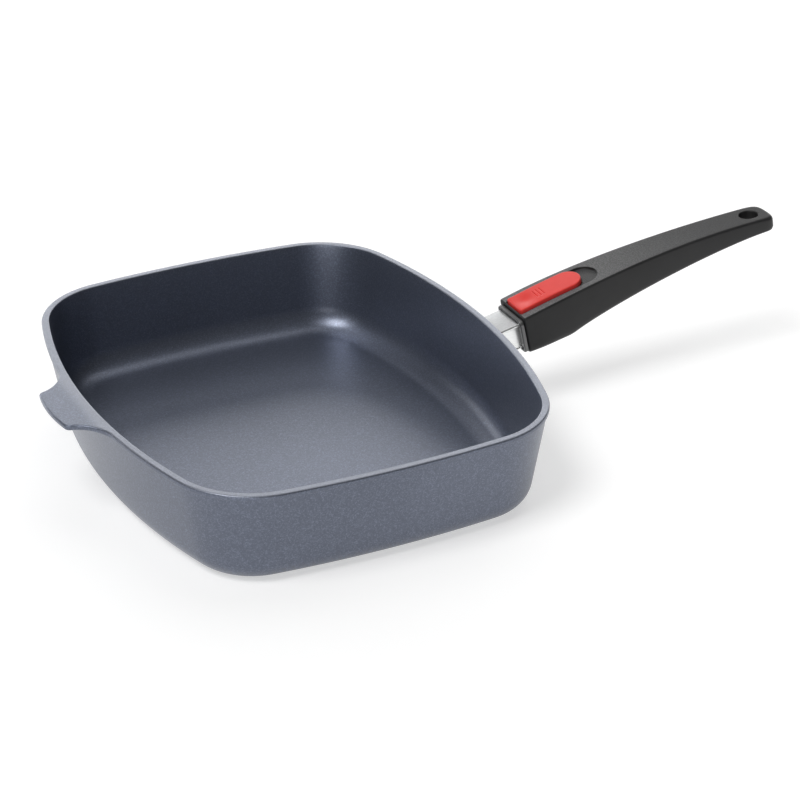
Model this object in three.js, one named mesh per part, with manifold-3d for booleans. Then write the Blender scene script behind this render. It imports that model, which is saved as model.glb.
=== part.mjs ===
// Deep rectangular frying pan: a coated casting with a helper tab and a bare metal stub,
// and a moulded handle that latches on the stub and pulls off when its red button is slid back.
// Millimetres, +Z up. The origin is the middle of the base's underside and the handle points along +X.
// The handle, its latch and the stub are drawn in the handle frame: x runs along the stub's axis,
// away from the pan, and x = 0 is the front of the handle's bezel.

import * as THREE from 'three';
import { mergeVertices } from 'three/addons/utils/BufferGeometryUtils.js';
import Module from 'manifold-3d';

const wasm = await Module();
wasm.setup();

// Pan casting
const PAN_LENGTH = 280; // rim, along the handle
const PAN_WIDTH = 324; // rim, across the handle
const PAN_HEIGHT = 66;
const LENGTH_SIDE_BOW = 422; // bow radius of the sides that carry the handle and the tab
const WIDTH_SIDE_BOW = 766; // bow radius of the two long sides
const CORNER_RADIUS = 58.6;
const CORNER_SHRINK = 1.25; // corner radius lost for each millimetre that the wall draws in
const LEAST_CORNER = 6;
const WALL_TAPER = 10; // degrees from upright
const BASE_ROUND = 16;
const RIM_WIDTH = 5;
const RIM_LIP_HEIGHT = 3.6;
const RIM_LIP_REACH = 1.2;
const RIM_EDGE = 0.6;
const FLOOR_THICKNESS = 7;
const FLOOR_ROUND = 19;

// Helper tab
const TAB_REACH = 18.6; // to the tip's corners
const TAB_TIP_WIDTH = 48.4;
const TAB_ROOT_WIDTH = 94;
const TAB_THICKNESS = 4.2;
const TAB_CORNER = 3;
const TAB_TIP_BOW = 3.2;

// Handle axis
const HANDLE_TILT = 12.4; // degrees above level
const HANDLE_STANDOFF = 22; // pan side to bezel
const HANDLE_AXIS_DROP = 15.5; // below the rim

// Clearances
const SEAT_GAP = 0.3; // pieces that are fixed to each other
const SLIDE_FIT = 0.4; // stub in its socket

// Boss, stub and stub screws
const STUB_ROOT = 19; // bezel front back to the boss face
const BOSS_MARGIN = 2.4; // boss beyond the stub, all round
const STUB_WIDTH = 26;
const STUB_HEIGHT = 19.6;
const STUB_FLANGE = 2.4;
const STUB_FOOT = 1.6;
const STUB_GROOVE = 2.4;
const TONGUE_WIDTH = 20;
const TONGUE_HEIGHT = 14.4;
const TONGUE_LEAD = 1.2;
const SCREW_RADIUS = 2;
const SCREW_HEAD_RADIUS = 3.5;
const SCREW_HEAD_HEIGHT = 4;
const SCREW_SOCKET = 1.5; // across the flats, halved
const SCREW_PITCH = 10.8;
const SCREW_ABOVE_FOOT = 4.6;
const SCREW_SEAT_DEPTH = 12; // stub root to the screw head's seat
const SCREW_BITE = 8.5; // thread length in the boss
const WASHER_THICKNESS = 1;

// Socket liner
const BEZEL_DEPTH = 2.7;
const BEZEL_WALL = 2.5;
const BEZEL_OVERLAP = 0.5; // bezel above and below the collar behind it
const COLLAR_LENGTH = 8;
const COLLAR_STEP = 2.7;
const LINER_WALL = 1.4;
const END_BLOCK = 10;
const END_BLOCK_RISE = 3.5; // block's underside above the sleeve's
const SCREW_SKIN = 1.2; // shell between the block and the liner screw's head
const GUIDE_RIB = 1.5;
const GUIDE_RIB_HEIGHT = 3;

// Handle shell
const HANDLE_LENGTH = 203;
const SHELL_SIDE_WALL = 2.1;
const SHELL_LOWER_WALL = 1.3;
const RECESS_SKIN = 1;
const RECESS_DEPTH = 3.8;
const SWELL = 1; // width gained behind the bezel, as the curve's control point
const NECK = 0.4; // and lost again before the tail
const TOP_BOW = 800; // radius of the top, seen from the side
const TOP_CREST = 62; // where the top is highest
const KNEE_AT = 37;
const KNEE_DROP = 3;
const KNEE_ROUND = 2; // each way along the handle
const UNDER_PULL = 0.15; // share of the grip to the underside's control points, from either end
const TAIL_HALF_WIDTH = 11.8;
const TAIL_END = 10.5; // length that the tail closes in
const TAIL_SQUARENESS = 3.2; // 2 is an ellipse
const TAIL_UNDER = 6.8; // underside below the axis at the tail
const TAIL_FLAT = 0.1; // left open at the very end
const SHELL_EDGE = 1.6;
const UNDER_ROUND = 0.2; // radius, as a share of the height
const SIDE_LEAN = 0.05; // width lost on each side, as a share of the height
const HANG_HOLE_RADIUS = 5.7;
const HANG_HOLE_STRAIGHT = 2.2;
const HANG_HOLE_INSET = 14.8; // hole centre to the tail

// Red button
const BUTTON_WIDTH = 20;
const BUTTON_TRAVEL = 11;
const BUTTON_PROUD = 2.4;
const BUTTON_GAP = 0.6;
const BUTTON_CHAMFER = 0.9;
const BUTTON_CORNER = 1.6;
const RECESS_LIP = 1.2;
const RUN_OUT = 1.2; // recess beyond the button at the end of its travel
const SLOT_COVER = 1; // button beyond the slot under it
const PEG_RADIUS = 0.8;

// Slide carrier, lock bolt and return spring
const CHEEK = 1.2;
const CHEEK_SPACE = 10; // between the cheeks
const CHEEK_FRONT = 8.2;
const CHEEK_BACK = 6.7;
const CARRIER_EAR = 2;
const CARRIER_TAIL = 3.3;
const CAM_WEB = 0.9; // metal left round the cam slot
const BOLT_LENGTH = 4;
const BOLT_WIDTH = 8;
const BOLT_LIFT = 4;
const BOLT_RAMP = 2.4;
const BOLT_CLEAR = 0.4; // bolt above the tongue when it is lifted
const BOLT_HEAD = 1.9; // bolt above its pin
const HOOK_LENGTH = 4.7; // tongue beyond the bolt's notch
const PIN_RADIUS = 1;
const SPRING_RADIUS = 2.2;
const SPRING_WIRE = 0.35;
const SPRING_LENGTH = 35;
const SPRING_TURNS = 12;
const GUIDE_RADIUS = 1;
const GUIDE_SEAT = 6;

// Facets of the round forms
const SIDE_STEPS = 4; // half of a bowed side of the pan
const CORNER_STEPS = 7;
const WALL_ROUND_STEPS = 5;
const PLAN_STEPS = 8;
const SECTION_STEPS = 4;
const GRIP_STEPS = 16;
const TAIL_STEPS = 7;
const BUTTON_STEPS = 5;
const HOLE_STEPS = 10;
const ROD_SIDES = 20;
const HEX_SIDES = 6;
const WIRE_SIDES = 6;
const COIL_STEPS = 10; // to a turn of the spring

const radians = THREE.MathUtils.degToRad;
const QUARTER = Math.PI / 2;

// Materials
function surface(color, roughness, metalness) {
  return new THREE.MeshStandardMaterial({ color, roughness, metalness });
}
const COATING = surface(0x6a7080, 0.45, 0.5);
const BARE_CAST = surface(0xc9cccf, 0.32, 1);
const STEEL = surface(0xa8abb0, 0.3, 1);
const BEZEL_METAL = surface(0x55575b, 0.42, 0.8);
const BLACK_MOULDING = surface(0x2e2e30, 0.55, 0);
const RED_PLASTIC = surface(0xd8322c, 0.38, 0);

// A closed geometry as a solid that can be joined and cut
const MERGE_DISTANCE = 1e-4;

function solid(geometry) {
  const bare = geometry.index ? geometry.toNonIndexed() : geometry.clone();
  bare.deleteAttribute('normal');
  bare.deleteAttribute('uv');
  const merged = mergeVertices(bare, MERGE_DISTANCE);
  return new wasm.Manifold(new wasm.Mesh({
    numProp: 3,
    vertProperties: new Float32Array(merged.attributes.position.array),
    triVerts: new Uint32Array(merged.index.array),
  }));
}

function geometryOf(body) {
  const { vertProperties, triVerts } = body.getMesh();
  const geometry = new THREE.BufferGeometry();
  geometry.setAttribute('position', new THREE.BufferAttribute(vertProperties, 3));
  geometry.setIndex(new THREE.BufferAttribute(triVerts, 1));
  geometry.computeVertexNormals();
  return geometry;
}

// Basic solids, placed by their limits
function box([x0, x1], [y0, y1], [z0, z1]) {
  const block = new THREE.BoxGeometry(x1 - x0, y1 - y0, z1 - z0);
  return solid(block.translate((x0 + x1) / 2, (y0 + y1) / 2, (z0 + z1) / 2));
}

function extrude(shape, depth, basis, curveSegments, bevel = 0) {
  const geometry = new THREE.ExtrudeGeometry(shape, {
    depth: depth - 2 * bevel,
    curveSegments,
    bevelEnabled: bevel > 0,
    bevelThickness: bevel,
    bevelSize: bevel,
    bevelOffset: -bevel,
    bevelSegments: 1,
  });
  return geometry.translate(0, 0, bevel).applyMatrix4(basis);
}

// The shape's plane and the direction it is extruded in
const ALONG_X = new THREE.Matrix4().makeBasis(
  new THREE.Vector3(0, 1, 0), new THREE.Vector3(0, 0, 1), new THREE.Vector3(1, 0, 0));
const ALONG_Y = new THREE.Matrix4().makeBasis(
  new THREE.Vector3(1, 0, 0), new THREE.Vector3(0, 0, 1), new THREE.Vector3(0, -1, 0));
const ALONG_Z = new THREE.Matrix4();

function prismX(shape, x0, x1, bevel) {
  return solid(extrude(shape, x1 - x0, ALONG_X, SECTION_STEPS, bevel).translate(x0, 0, 0));
}

function prismY(shape, halfDepth) {
  return solid(extrude(shape, 2 * halfDepth, ALONG_Y, PLAN_STEPS).translate(0, halfDepth, 0));
}

function prismZ(shape, z0, z1) {
  return solid(extrude(shape, z1 - z0, ALONG_Z, PLAN_STEPS).translate(0, 0, z0));
}

function rodX(radius, x0, x1, y, z, sides = ROD_SIDES) {
  const rod = new THREE.CylinderGeometry(radius, radius, x1 - x0, sides).rotateZ(QUARTER);
  return solid(rod.translate((x0 + x1) / 2, y, z));
}

function rodY(radius, halfLength, x, z) {
  return solid(new THREE.CylinderGeometry(radius, radius, 2 * halfLength, ROD_SIDES).translate(x, 0, z));
}

function rodZ(radius, z0, z1, x, sides = ROD_SIDES) {
  const rod = new THREE.CylinderGeometry(radius, radius, z1 - z0, sides).rotateX(QUARTER);
  return solid(rod.translate(x, 0, (z0 + z1) / 2));
}

// A rectangle with round corners, from -half to half and from low to high
function roundedRect(half, low, high, radius) {
  const shape = new THREE.Shape();
  shape.moveTo(-half + radius, low);
  shape.absarc(half - radius, low + radius, radius, -QUARTER, 0);
  shape.absarc(half - radius, high - radius, radius, 0, QUARTER);
  shape.absarc(-half + radius, high - radius, radius, QUARTER, 2 * QUARTER);
  shape.absarc(-half + radius, low + radius, radius, 2 * QUARTER, 3 * QUARTER);
  return shape;
}

// A slot with round ends between two points
function roundSlot([x0, z0], [x1, z1], radius) {
  const turn = Math.atan2(z1 - z0, x1 - x0);
  const shape = new THREE.Shape();
  shape.absarc(x1, z1, radius, turn - QUARTER, turn + QUARTER);
  shape.absarc(x0, z0, radius, turn + QUARTER, turn + 3 * QUARTER);
  return shape;
}

// A closed skin through rings of points, with flat ends. The rings run along 'x' or 'z',
// each anticlockwise as seen from the far end.
function loft(rings, along) {
  const count = rings[0].length;
  const flat = ([x, y, z]) => (along === 'z' ? new THREE.Vector2(x, y) : new THREE.Vector2(y, z));
  const index = [];
  for (let i = 0; i + 1 < rings.length; i += 1) {
    for (let j = 0; j < count; j += 1) {
      const a = i * count + j;
      const b = i * count + ((j + 1) % count);
      index.push(a, b, a + count, b, b + count, a + count);
    }
  }
  const cap = (ring, offset, facesForward) => {
    const points = ring.map(flat);
    for (const [p, q, r] of THREE.ShapeUtils.triangulateShape(points, [])) {
      const forward = THREE.ShapeUtils.area([points[p], points[q], points[r]]) > 0;
      const [second, third] = forward === facesForward ? [q, r] : [r, q];
      index.push(offset + p, offset + second, offset + third);
    }
  };
  cap(rings[0], 0, false);
  cap(rings[rings.length - 1], (rings.length - 1) * count, true);
  const geometry = new THREE.BufferGeometry();
  geometry.setAttribute('position', new THREE.Float32BufferAttribute(rings.flat(2), 3));
  geometry.setIndex(index);
  return solid(geometry);
}

// Height of a curve of rising x at a given x, by halving
const HALVINGS = 40;

function curveAt(curve, x) {
  let [low, high] = [0, 1];
  for (let step = 0; step < HALVINGS; step += 1) {
    const middle = (low + high) / 2;
    if (curve.getPoint(middle).x < x) low = middle;
    else high = middle;
  }
  return curve.getPoint(low).y;
}

// Handle frame, and what is placed along it from front to back
const handleFrame = new THREE.Group();
handleFrame.position.set(PAN_LENGTH / 2 + HANDLE_STANDOFF, 0, PAN_HEIGHT - HANDLE_AXIS_DROP);
handleFrame.rotation.y = -radians(HANDLE_TILT);
handleFrame.updateMatrix();

const shellFront = BEZEL_DEPTH + SEAT_GAP;
const recessFront = shellFront + RECESS_LIP;
const buttonFront = recessFront + BUTTON_GAP;
const slotFront = buttonFront + BUTTON_TRAVEL + SLOT_COVER;
const cheekFront = slotFront + SEAT_GAP;
const boltX = cheekFront + CHEEK_FRONT + BUTTON_TRAVEL;
const cheekBack = boltX + CHEEK_BACK;
const slotBack = cheekBack + BUTTON_TRAVEL + SEAT_GAP;
const buttonBack = slotBack + SLOT_COVER;
const recessBack = buttonBack + BUTTON_TRAVEL + RUN_OUT;
const carrierBack = cheekBack + CARRIER_TAIL;
const carrierRoomBack = carrierBack + BUTTON_TRAVEL + SEAT_GAP;
const springFront = carrierBack + SEAT_GAP;
const springBack = springFront + SPRING_LENGTH;
const shoulder = COLLAR_LENGTH - COLLAR_STEP - SEAT_GAP;
const tongueTip = boltX + BOLT_LENGTH / 2 + SEAT_GAP + HOOK_LENGTH;
const socketEnd = tongueTip + 2 * SEAT_GAP;
const sleeveBack = socketEnd + LINER_WALL;
const linerBack = sleeveBack + END_BLOCK;
const linerScrewX = sleeveBack + END_BLOCK / 2;

// The same pieces from the axis up and down
const stubTop = STUB_HEIGHT / 2;
const collarInside = stubTop + SLIDE_FIT;
const collarOutside = collarInside + LINER_WALL;
const recessFloor = collarOutside + SEAT_GAP + RECESS_SKIN;
const topCrest = recessFloor + RECESS_DEPTH;
const tongueTop = TONGUE_HEIGHT - stubTop;
const sleeveInside = tongueTop + SLIDE_FIT;
const sleeveTop = sleeveInside + LINER_WALL;
const carrierLow = sleeveTop + SEAT_GAP;
const camHalf = PIN_RADIUS + SEAT_GAP;
const pinZ = carrierLow + CAM_WEB + camHalf;
const cheekTop = pinZ + BOLT_LIFT + camHalf + CAM_WEB;
const buttonLow = recessFloor + SEAT_GAP;
const boltLow = tongueTop - BOLT_LIFT + BOLT_CLEAR;
const springZ = carrierLow + SPRING_RADIUS + SEAT_GAP;
const cheekOutside = CHEEK_SPACE / 2 + CHEEK;
const collarHalf = STUB_WIDTH / 2 + SLIDE_FIT + LINER_WALL;
const sleeveHalf = TONGUE_WIDTH / 2 + SLIDE_FIT + LINER_WALL;
const screwZ = SCREW_ABOVE_FOOT - stubTop;
const screwSides = { left: SCREW_PITCH / 2, right: -SCREW_PITCH / 2 };
const stubRoot = -STUB_ROOT + SEAT_GAP;
const screwSeat = stubRoot + SCREW_SEAT_DEPTH;
const blockLow = END_BLOCK_RISE - collarOutside;
const linerScrewSeat = blockLow - SEAT_GAP - SCREW_SKIN;
const linerScrewTop = blockLow + SCREW_BITE;

// Pan outline, drawn in by an inset: four bowed sides joined by tangent corner arcs
function panOutline(inset, z) {
  const lengthBow = LENGTH_SIDE_BOW - inset;
  const widthBow = WIDTH_SIDE_BOW - inset;
  const corner = Math.max(CORNER_RADIUS - CORNER_SHRINK * inset, LEAST_CORNER);
  const lengthCentre = PAN_LENGTH / 2 - inset - lengthBow;
  const widthCentre = PAN_WIDTH / 2 - inset - widthBow;
  // The corner arc's centre lies where circles about the two bow centres cross
  const reach = lengthBow - corner;
  const rise = widthBow - corner;
  const span = Math.hypot(lengthCentre, widthCentre);
  const along = (reach ** 2 - rise ** 2 + span ** 2) / (2 * span);
  const across = Math.sqrt(reach ** 2 - along ** 2);
  const unit = [-lengthCentre / span, widthCentre / span];
  const centre = [
    lengthCentre + along * unit[0] - across * unit[1],
    along * unit[1] + across * unit[0],
  ];
  const first = Math.atan2(centre[1], centre[0] - lengthCentre);
  const second = Math.atan2(centre[1] - widthCentre, centre[0]);
  const quarter = [];
  const arc = (middle, radius, from, to, steps) => {
    for (let k = 0; k < steps; k += 1) {
      const turn = from + ((to - from) * k) / steps;
      quarter.push([middle[0] + radius * Math.cos(turn), middle[1] + radius * Math.sin(turn)]);
    }
  };
  arc([lengthCentre, 0], lengthBow, 0, first, SIDE_STEPS);
  arc(centre, corner, first, second, CORNER_STEPS);
  arc([0, widthCentre], widthBow, second, QUARTER, SIDE_STEPS);
  const mirrored = quarter.slice(1).reverse().map(([x, y]) => [-x, y]);
  const upper = [...quarter, [0, PAN_WIDTH / 2 - inset], ...mirrored];
  const lower = upper.map(([x, y]) => [-x, -y]);
  return [...upper, ...lower].map(([x, y]) => [x, y, z]);
}

// Round between a level face and a tapered wall whose line meets that level at wallInset
function wallRound(wallInset, level, radius) {
  const taper = radians(WALL_TAPER);
  const middle = wallInset + (radius * (1 - Math.sin(taper))) / Math.cos(taper);
  return Array.from({ length: WALL_ROUND_STEPS + 1 }, (_, k) => {
    const turn = -QUARTER + ((QUARTER - taper) * k) / WALL_ROUND_STEPS;
    return [middle - radius * Math.cos(turn), level + radius * (1 + Math.sin(turn))];
  });
}

function panBody() {
  const draw = Math.tan(radians(WALL_TAPER));
  const lipLow = PAN_HEIGHT - RIM_LIP_HEIGHT;
  const outside = [
    ...wallRound(RIM_LIP_REACH + lipLow * draw, 0, BASE_ROUND),
    [RIM_LIP_REACH, lipLow],
    [RIM_EDGE / 2, lipLow + RIM_EDGE],
    [0, lipLow + 2 * RIM_EDGE],
    [0, PAN_HEIGHT - RIM_EDGE],
    [RIM_EDGE, PAN_HEIGHT],
  ];
  const inside = [
    ...wallRound(RIM_WIDTH + (PAN_HEIGHT - FLOOR_THICKNESS) * draw, FLOOR_THICKNESS, FLOOR_ROUND),
    [RIM_WIDTH + RIM_EDGE * draw, PAN_HEIGHT - RIM_EDGE],
    [RIM_WIDTH - RIM_EDGE, PAN_HEIGHT],
    [RIM_WIDTH - RIM_EDGE, PAN_HEIGHT + RIM_LIP_HEIGHT],
  ];
  const skin = (profile) => loft(profile.map(([inset, z]) => panOutline(inset, z)), 'z');
  let body = skin(outside).add(helperTab()).add(handleBoss()).subtract(skin(inside));
  const holeEnd = -STUB_ROOT - SCREW_BITE - SEAT_GAP;
  for (const y of Object.values(screwSides)) {
    const hole = rodX(SCREW_RADIUS + SEAT_GAP, holeEnd, stubRoot, y, screwZ);
    body = body.subtract(hole.transform(handleFrame.matrix.elements));
  }
  return body;
}

// Flat tab level with the rim, opposite the handle
function helperTab() {
  const side = -PAN_LENGTH / 2;
  const tip = side - TAB_REACH;
  const [tipHalf, rootHalf] = [TAB_TIP_WIDTH / 2, TAB_ROOT_WIDTH / 2];
  const inboard = side + RIM_WIDTH;
  const bow = tip - TAB_TIP_BOW / 2;
  const flareX = side - TAB_REACH / 4;
  const flareY = THREE.MathUtils.lerp(tipHalf, rootHalf, 1 / 4);
  const shape = new THREE.Shape();
  shape.moveTo(inboard, rootHalf);
  shape.quadraticCurveTo(flareX, flareY, tip + TAB_CORNER, tipHalf);
  shape.quadraticCurveTo(tip, tipHalf, bow, tipHalf - TAB_CORNER);
  shape.quadraticCurveTo(tip - TAB_TIP_BOW, 0, bow, -tipHalf + TAB_CORNER);
  shape.quadraticCurveTo(tip, -tipHalf, tip + TAB_CORNER, -tipHalf);
  shape.quadraticCurveTo(flareX, -flareY, inboard, -rootHalf);
  return prismZ(shape, PAN_HEIGHT - TAB_THICKNESS, PAN_HEIGHT);
}

// Cast pad that the stub is screwed to. It starts inside the pan, where the cavity cuts it off.
function handleBoss() {
  const half = stubTop + BOSS_MARGIN;
  const start = -STUB_ROOT - HANDLE_STANDOFF;
  const section = roundedRect(STUB_WIDTH / 2 + BOSS_MARGIN, -half, half, 2 * BOSS_MARGIN);
  return prismX(section, start, -STUB_ROOT).transform(handleFrame.matrix.elements);
}

// Stub: a grooved bar outside the handle and a lower tongue inside it, with the bolt's notch
function handleStub() {
  const half = STUB_WIDTH / 2;
  const web = half - STUB_GROOVE;
  const edge = STUB_FOOT / 2;
  const round = STUB_FLANGE / 2;
  const roundTurn = Math.PI / 3; // where the flange's round starts, below level
  const section = new THREE.Shape();
  section.moveTo(-web, -stubTop);
  section.lineTo(web, -stubTop);
  section.lineTo(web + edge, -stubTop + edge);
  section.lineTo(web, -stubTop + STUB_FOOT);
  section.lineTo(web, stubTop - STUB_FLANGE);
  section.lineTo(half - edge, stubTop - STUB_FLANGE);
  section.absarc(half - round, stubTop - round, round, -roundTurn, QUARTER);
  section.absarc(-half + round, stubTop - round, round, QUARTER, Math.PI + roundTurn);
  section.lineTo(-half + edge, stubTop - STUB_FLANGE);
  section.lineTo(-web, stubTop - STUB_FLANGE);
  section.lineTo(-web, -stubTop + STUB_FOOT);
  section.lineTo(-web - edge, -stubTop + edge);
  const bar = prismX(section, stubRoot, shoulder);
  const tongueSection = roundedRect(TONGUE_WIDTH / 2, -stubTop, tongueTop, 2 * TONGUE_LEAD);
  const tongue = prismX(tongueSection, shoulder - 2 * TONGUE_LEAD, tongueTip, TONGUE_LEAD);
  const notchHalf = BOLT_LENGTH / 2 + SEAT_GAP;
  const notchSide = BOLT_WIDTH / 2 + SEAT_GAP;
  const notch = box(
    [boltX - notchHalf, boltX + notchHalf], [-notchSide, notchSide], [boltLow - SLIDE_FIT, stubTop]);
  let stub = bar.add(tongue).subtract(notch);
  for (const y of Object.values(screwSides)) {
    stub = stub
      .subtract(rodX(SCREW_RADIUS + SEAT_GAP, stubRoot - SEAT_GAP, screwSeat + SEAT_GAP, y, screwZ))
      .subtract(rodX(SCREW_HEAD_RADIUS + SEAT_GAP, screwSeat, tongueTip + SEAT_GAP, y, screwZ));
  }
  return stub;
}

// A profile of [radius, x] pairs turned about a line along x
function turnedX(profile, y, z) {
  const points = profile.map(([radius, x]) => new THREE.Vector2(radius, x));
  return solid(new THREE.LatheGeometry(points, ROD_SIDES).rotateZ(-QUARTER).translate(0, y, z));
}

// Cap screw with a hexagon socket
const hexCorner = SCREW_SOCKET / Math.cos(Math.PI / HEX_SIDES);

function stubScrew(y) {
  const under = screwSeat + WASHER_THICKNESS + 2 * SEAT_GAP;
  const top = under + SCREW_HEAD_HEIGHT;
  const end = -STUB_ROOT - SCREW_BITE;
  const screw = turnedX([
    [0, end], [SCREW_RADIUS, end], [SCREW_RADIUS, under],
    [SCREW_HEAD_RADIUS, under], [SCREW_HEAD_RADIUS, top], [0, top],
  ], y, screwZ);
  const hexDepth = SCREW_HEAD_HEIGHT / 2;
  return screw.subtract(rodX(hexCorner, top - hexDepth, top + SEAT_GAP, y, screwZ, HEX_SIDES));
}

function stubWasher(y) {
  const inner = SCREW_RADIUS + SEAT_GAP;
  const low = screwSeat + SEAT_GAP;
  const high = low + WASHER_THICKNESS;
  return turnedX([
    [inner, low], [SCREW_HEAD_RADIUS, low], [SCREW_HEAD_RADIUS, high], [inner, high], [inner, low],
  ], y, screwZ);
}

// Liner: bezel, collar round the stub, sleeve round the tongue and a solid block for the screw
function socketLiner() {
  const bezelHalf = STUB_WIDTH / 2 + SLIDE_FIT + BEZEL_WALL;
  const bezelTall = collarOutside + BEZEL_OVERLAP;
  const collarRound = 2 * LINER_WALL;
  const bezel = roundedRect(bezelHalf, -bezelTall, bezelTall, collarRound + BEZEL_OVERLAP);
  const collar = roundedRect(collarHalf, -collarOutside, collarOutside, collarRound);
  const sleeve = roundedRect(sleeveHalf, -collarOutside, sleeveTop, LINER_WALL);
  const block = roundedRect(sleeveHalf, blockLow, sleeveTop, LINER_WALL);
  const outside = prismX(bezel, 0, BEZEL_DEPTH)
    .add(prismX(collar, BEZEL_DEPTH / 2, COLLAR_LENGTH))
    .add(prismX(sleeve, COLLAR_LENGTH / 2, sleeveBack))
    .add(prismX(block, socketEnd, linerBack));
  const collarBore = roundedRect(collarHalf - LINER_WALL, -collarInside, collarInside, LINER_WALL);
  const sleeveBore = roundedRect(sleeveHalf - LINER_WALL, -collarInside, sleeveInside, LINER_WALL / 2);
  const boltRoom = BOLT_LENGTH / 2 + SEAT_GAP;
  const boltSide = BOLT_WIDTH / 2 + SEAT_GAP;
  const ribHigh = [sleeveTop - LINER_WALL / 2, sleeveTop + GUIDE_RIB_HEIGHT];
  const ribWide = [-BOLT_WIDTH / 2, BOLT_WIDTH / 2];
  return outside
    .subtract(prismX(collarBore, -SEAT_GAP, shoulder + SEAT_GAP))
    .subtract(prismX(sleeveBore, shoulder, socketEnd))
    .add(box([boltX - boltRoom - GUIDE_RIB, boltX - boltRoom], ribWide, ribHigh))
    .add(box([boltX + boltRoom, boltX + boltRoom + GUIDE_RIB], ribWide, ribHigh))
    .subtract(box([boltX - boltRoom, boltX + boltRoom], [-boltSide, boltSide], [tongueTop, stubTop]))
    .subtract(rodZ(SCREW_RADIUS + SEAT_GAP, blockLow - SEAT_GAP, linerScrewTop + SEAT_GAP, linerScrewX));
}

// Handle shell: its outline along the handle
const frontHalf = collarHalf + SEAT_GAP + SHELL_SIDE_WALL;
const underFront = -collarOutside - SEAT_GAP - SHELL_LOWER_WALL;
const underKnee = underFront - KNEE_DROP;
const tailCentre = HANDLE_LENGTH - TAIL_END;

// A side of the handle from front to tail, by control points at shares of the way along
function gripCurve(front, controls) {
  const along = (share) => THREE.MathUtils.lerp(front, HANDLE_LENGTH, share);
  return new THREE.CubicBezierCurve(...controls.map(([share, out]) => new THREE.Vector2(along(share), out)));
}

// Width swells a little behind the bezel, then draws in to the tail
const widthCurve = gripCurve(shellFront, [
  [0, frontHalf], [1 / 4, frontHalf + SWELL], [1 / 2, TAIL_HALF_WIDTH - NECK], [1, TAIL_HALF_WIDTH],
]);
// Underside from the knee: up to the grip, slim before the tail and a little deeper at its end
const underCurve = gripCurve(KNEE_AT, [
  [0, underKnee], [UNDER_PULL, underKnee / 2], [1 - UNDER_PULL, -TAIL_UNDER / 5], [1, -TAIL_UNDER],
]);

const topAt = (x) => topCrest - (x - TOP_CREST) ** 2 / (2 * TOP_BOW);

function underAt(x) {
  if (x > KNEE_AT) return curveAt(underCurve, x);
  return THREE.MathUtils.mapLinear(x, shellFront, KNEE_AT, underFront, underKnee);
}

function shellHalfAt(x) {
  const closing = Math.max(x - tailCentre, 0) / TAIL_END;
  return curveAt(widthCurve, x) * (1 - closing ** TAIL_SQUARENESS) ** (1 / TAIL_SQUARENESS);
}

// Cross-section: flat top with a broken edge, sides that draw in downwards behind the collar
// and a round underside. Where the tail closes, these shrink with what is left of the section.
function shellSection(x, inset = 0) {
  const half = shellHalfAt(x) - inset;
  const [low, high] = [underAt(x) + inset, topAt(x) - inset];
  const tall = high - low;
  const edge = Math.min(SHELL_EDGE, half / 3);
  const behindCollar = THREE.MathUtils.smoothstep(x, COLLAR_LENGTH, KNEE_AT);
  const lean = Math.min(SIDE_LEAN * tall, half / 4) * behindCollar;
  const belly = half - lean;
  const round = Math.min(UNDER_ROUND * tall, (3 / 4) * belly);
  const right = [[half - edge, high], [half, high - edge], [half - lean / 4, (low + high) / 2]];
  for (let k = 0; k <= SECTION_STEPS; k += 1) {
    const turn = QUARTER * (k / SECTION_STEPS);
    right.push([belly - round * (1 - Math.cos(turn)), low + round * (1 - Math.sin(turn))]);
  }
  const left = right.map(([y, z]) => [-y, z]);
  return [[0, high], ...left, [0, low], ...right.reverse()].map(([y, z]) => [x, y, z]);
}

// Places along a round end, closer together towards its tip
function roundEnd(centre, radius, first) {
  const stations = [];
  for (let k = first; k < TAIL_STEPS; k += 1) {
    stations.push(centre + radius * Math.sin(QUARTER * (k / TAIL_STEPS)));
  }
  return [...stations, centre + radius - TAIL_FLAT];
}

function shellStations() {
  const kneeEnd = KNEE_AT + KNEE_ROUND;
  const stations = [shellFront + SHELL_EDGE / 2, (shellFront + KNEE_AT) / 2, KNEE_AT - KNEE_ROUND, kneeEnd];
  for (let k = 1; k < GRIP_STEPS; k += 1) {
    stations.push(THREE.MathUtils.lerp(kneeEnd, tailCentre, k / GRIP_STEPS));
  }
  return [...stations, ...roundEnd(tailCentre, TAIL_END, 0)];
}

// Plan of the button and of its recess: a straight front, slim corners and a round back
function buttonPlan(front, back, half, corner) {
  const shape = new THREE.Shape();
  shape.moveTo(front, -half + corner);
  shape.quadraticCurveTo(front, -half, front + corner, -half);
  shape.absarc(back - half, 0, half, -QUARTER, QUARTER);
  shape.lineTo(front + corner, half);
  shape.quadraticCurveTo(front, half, front, half - corner);
  return shape;
}

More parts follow.
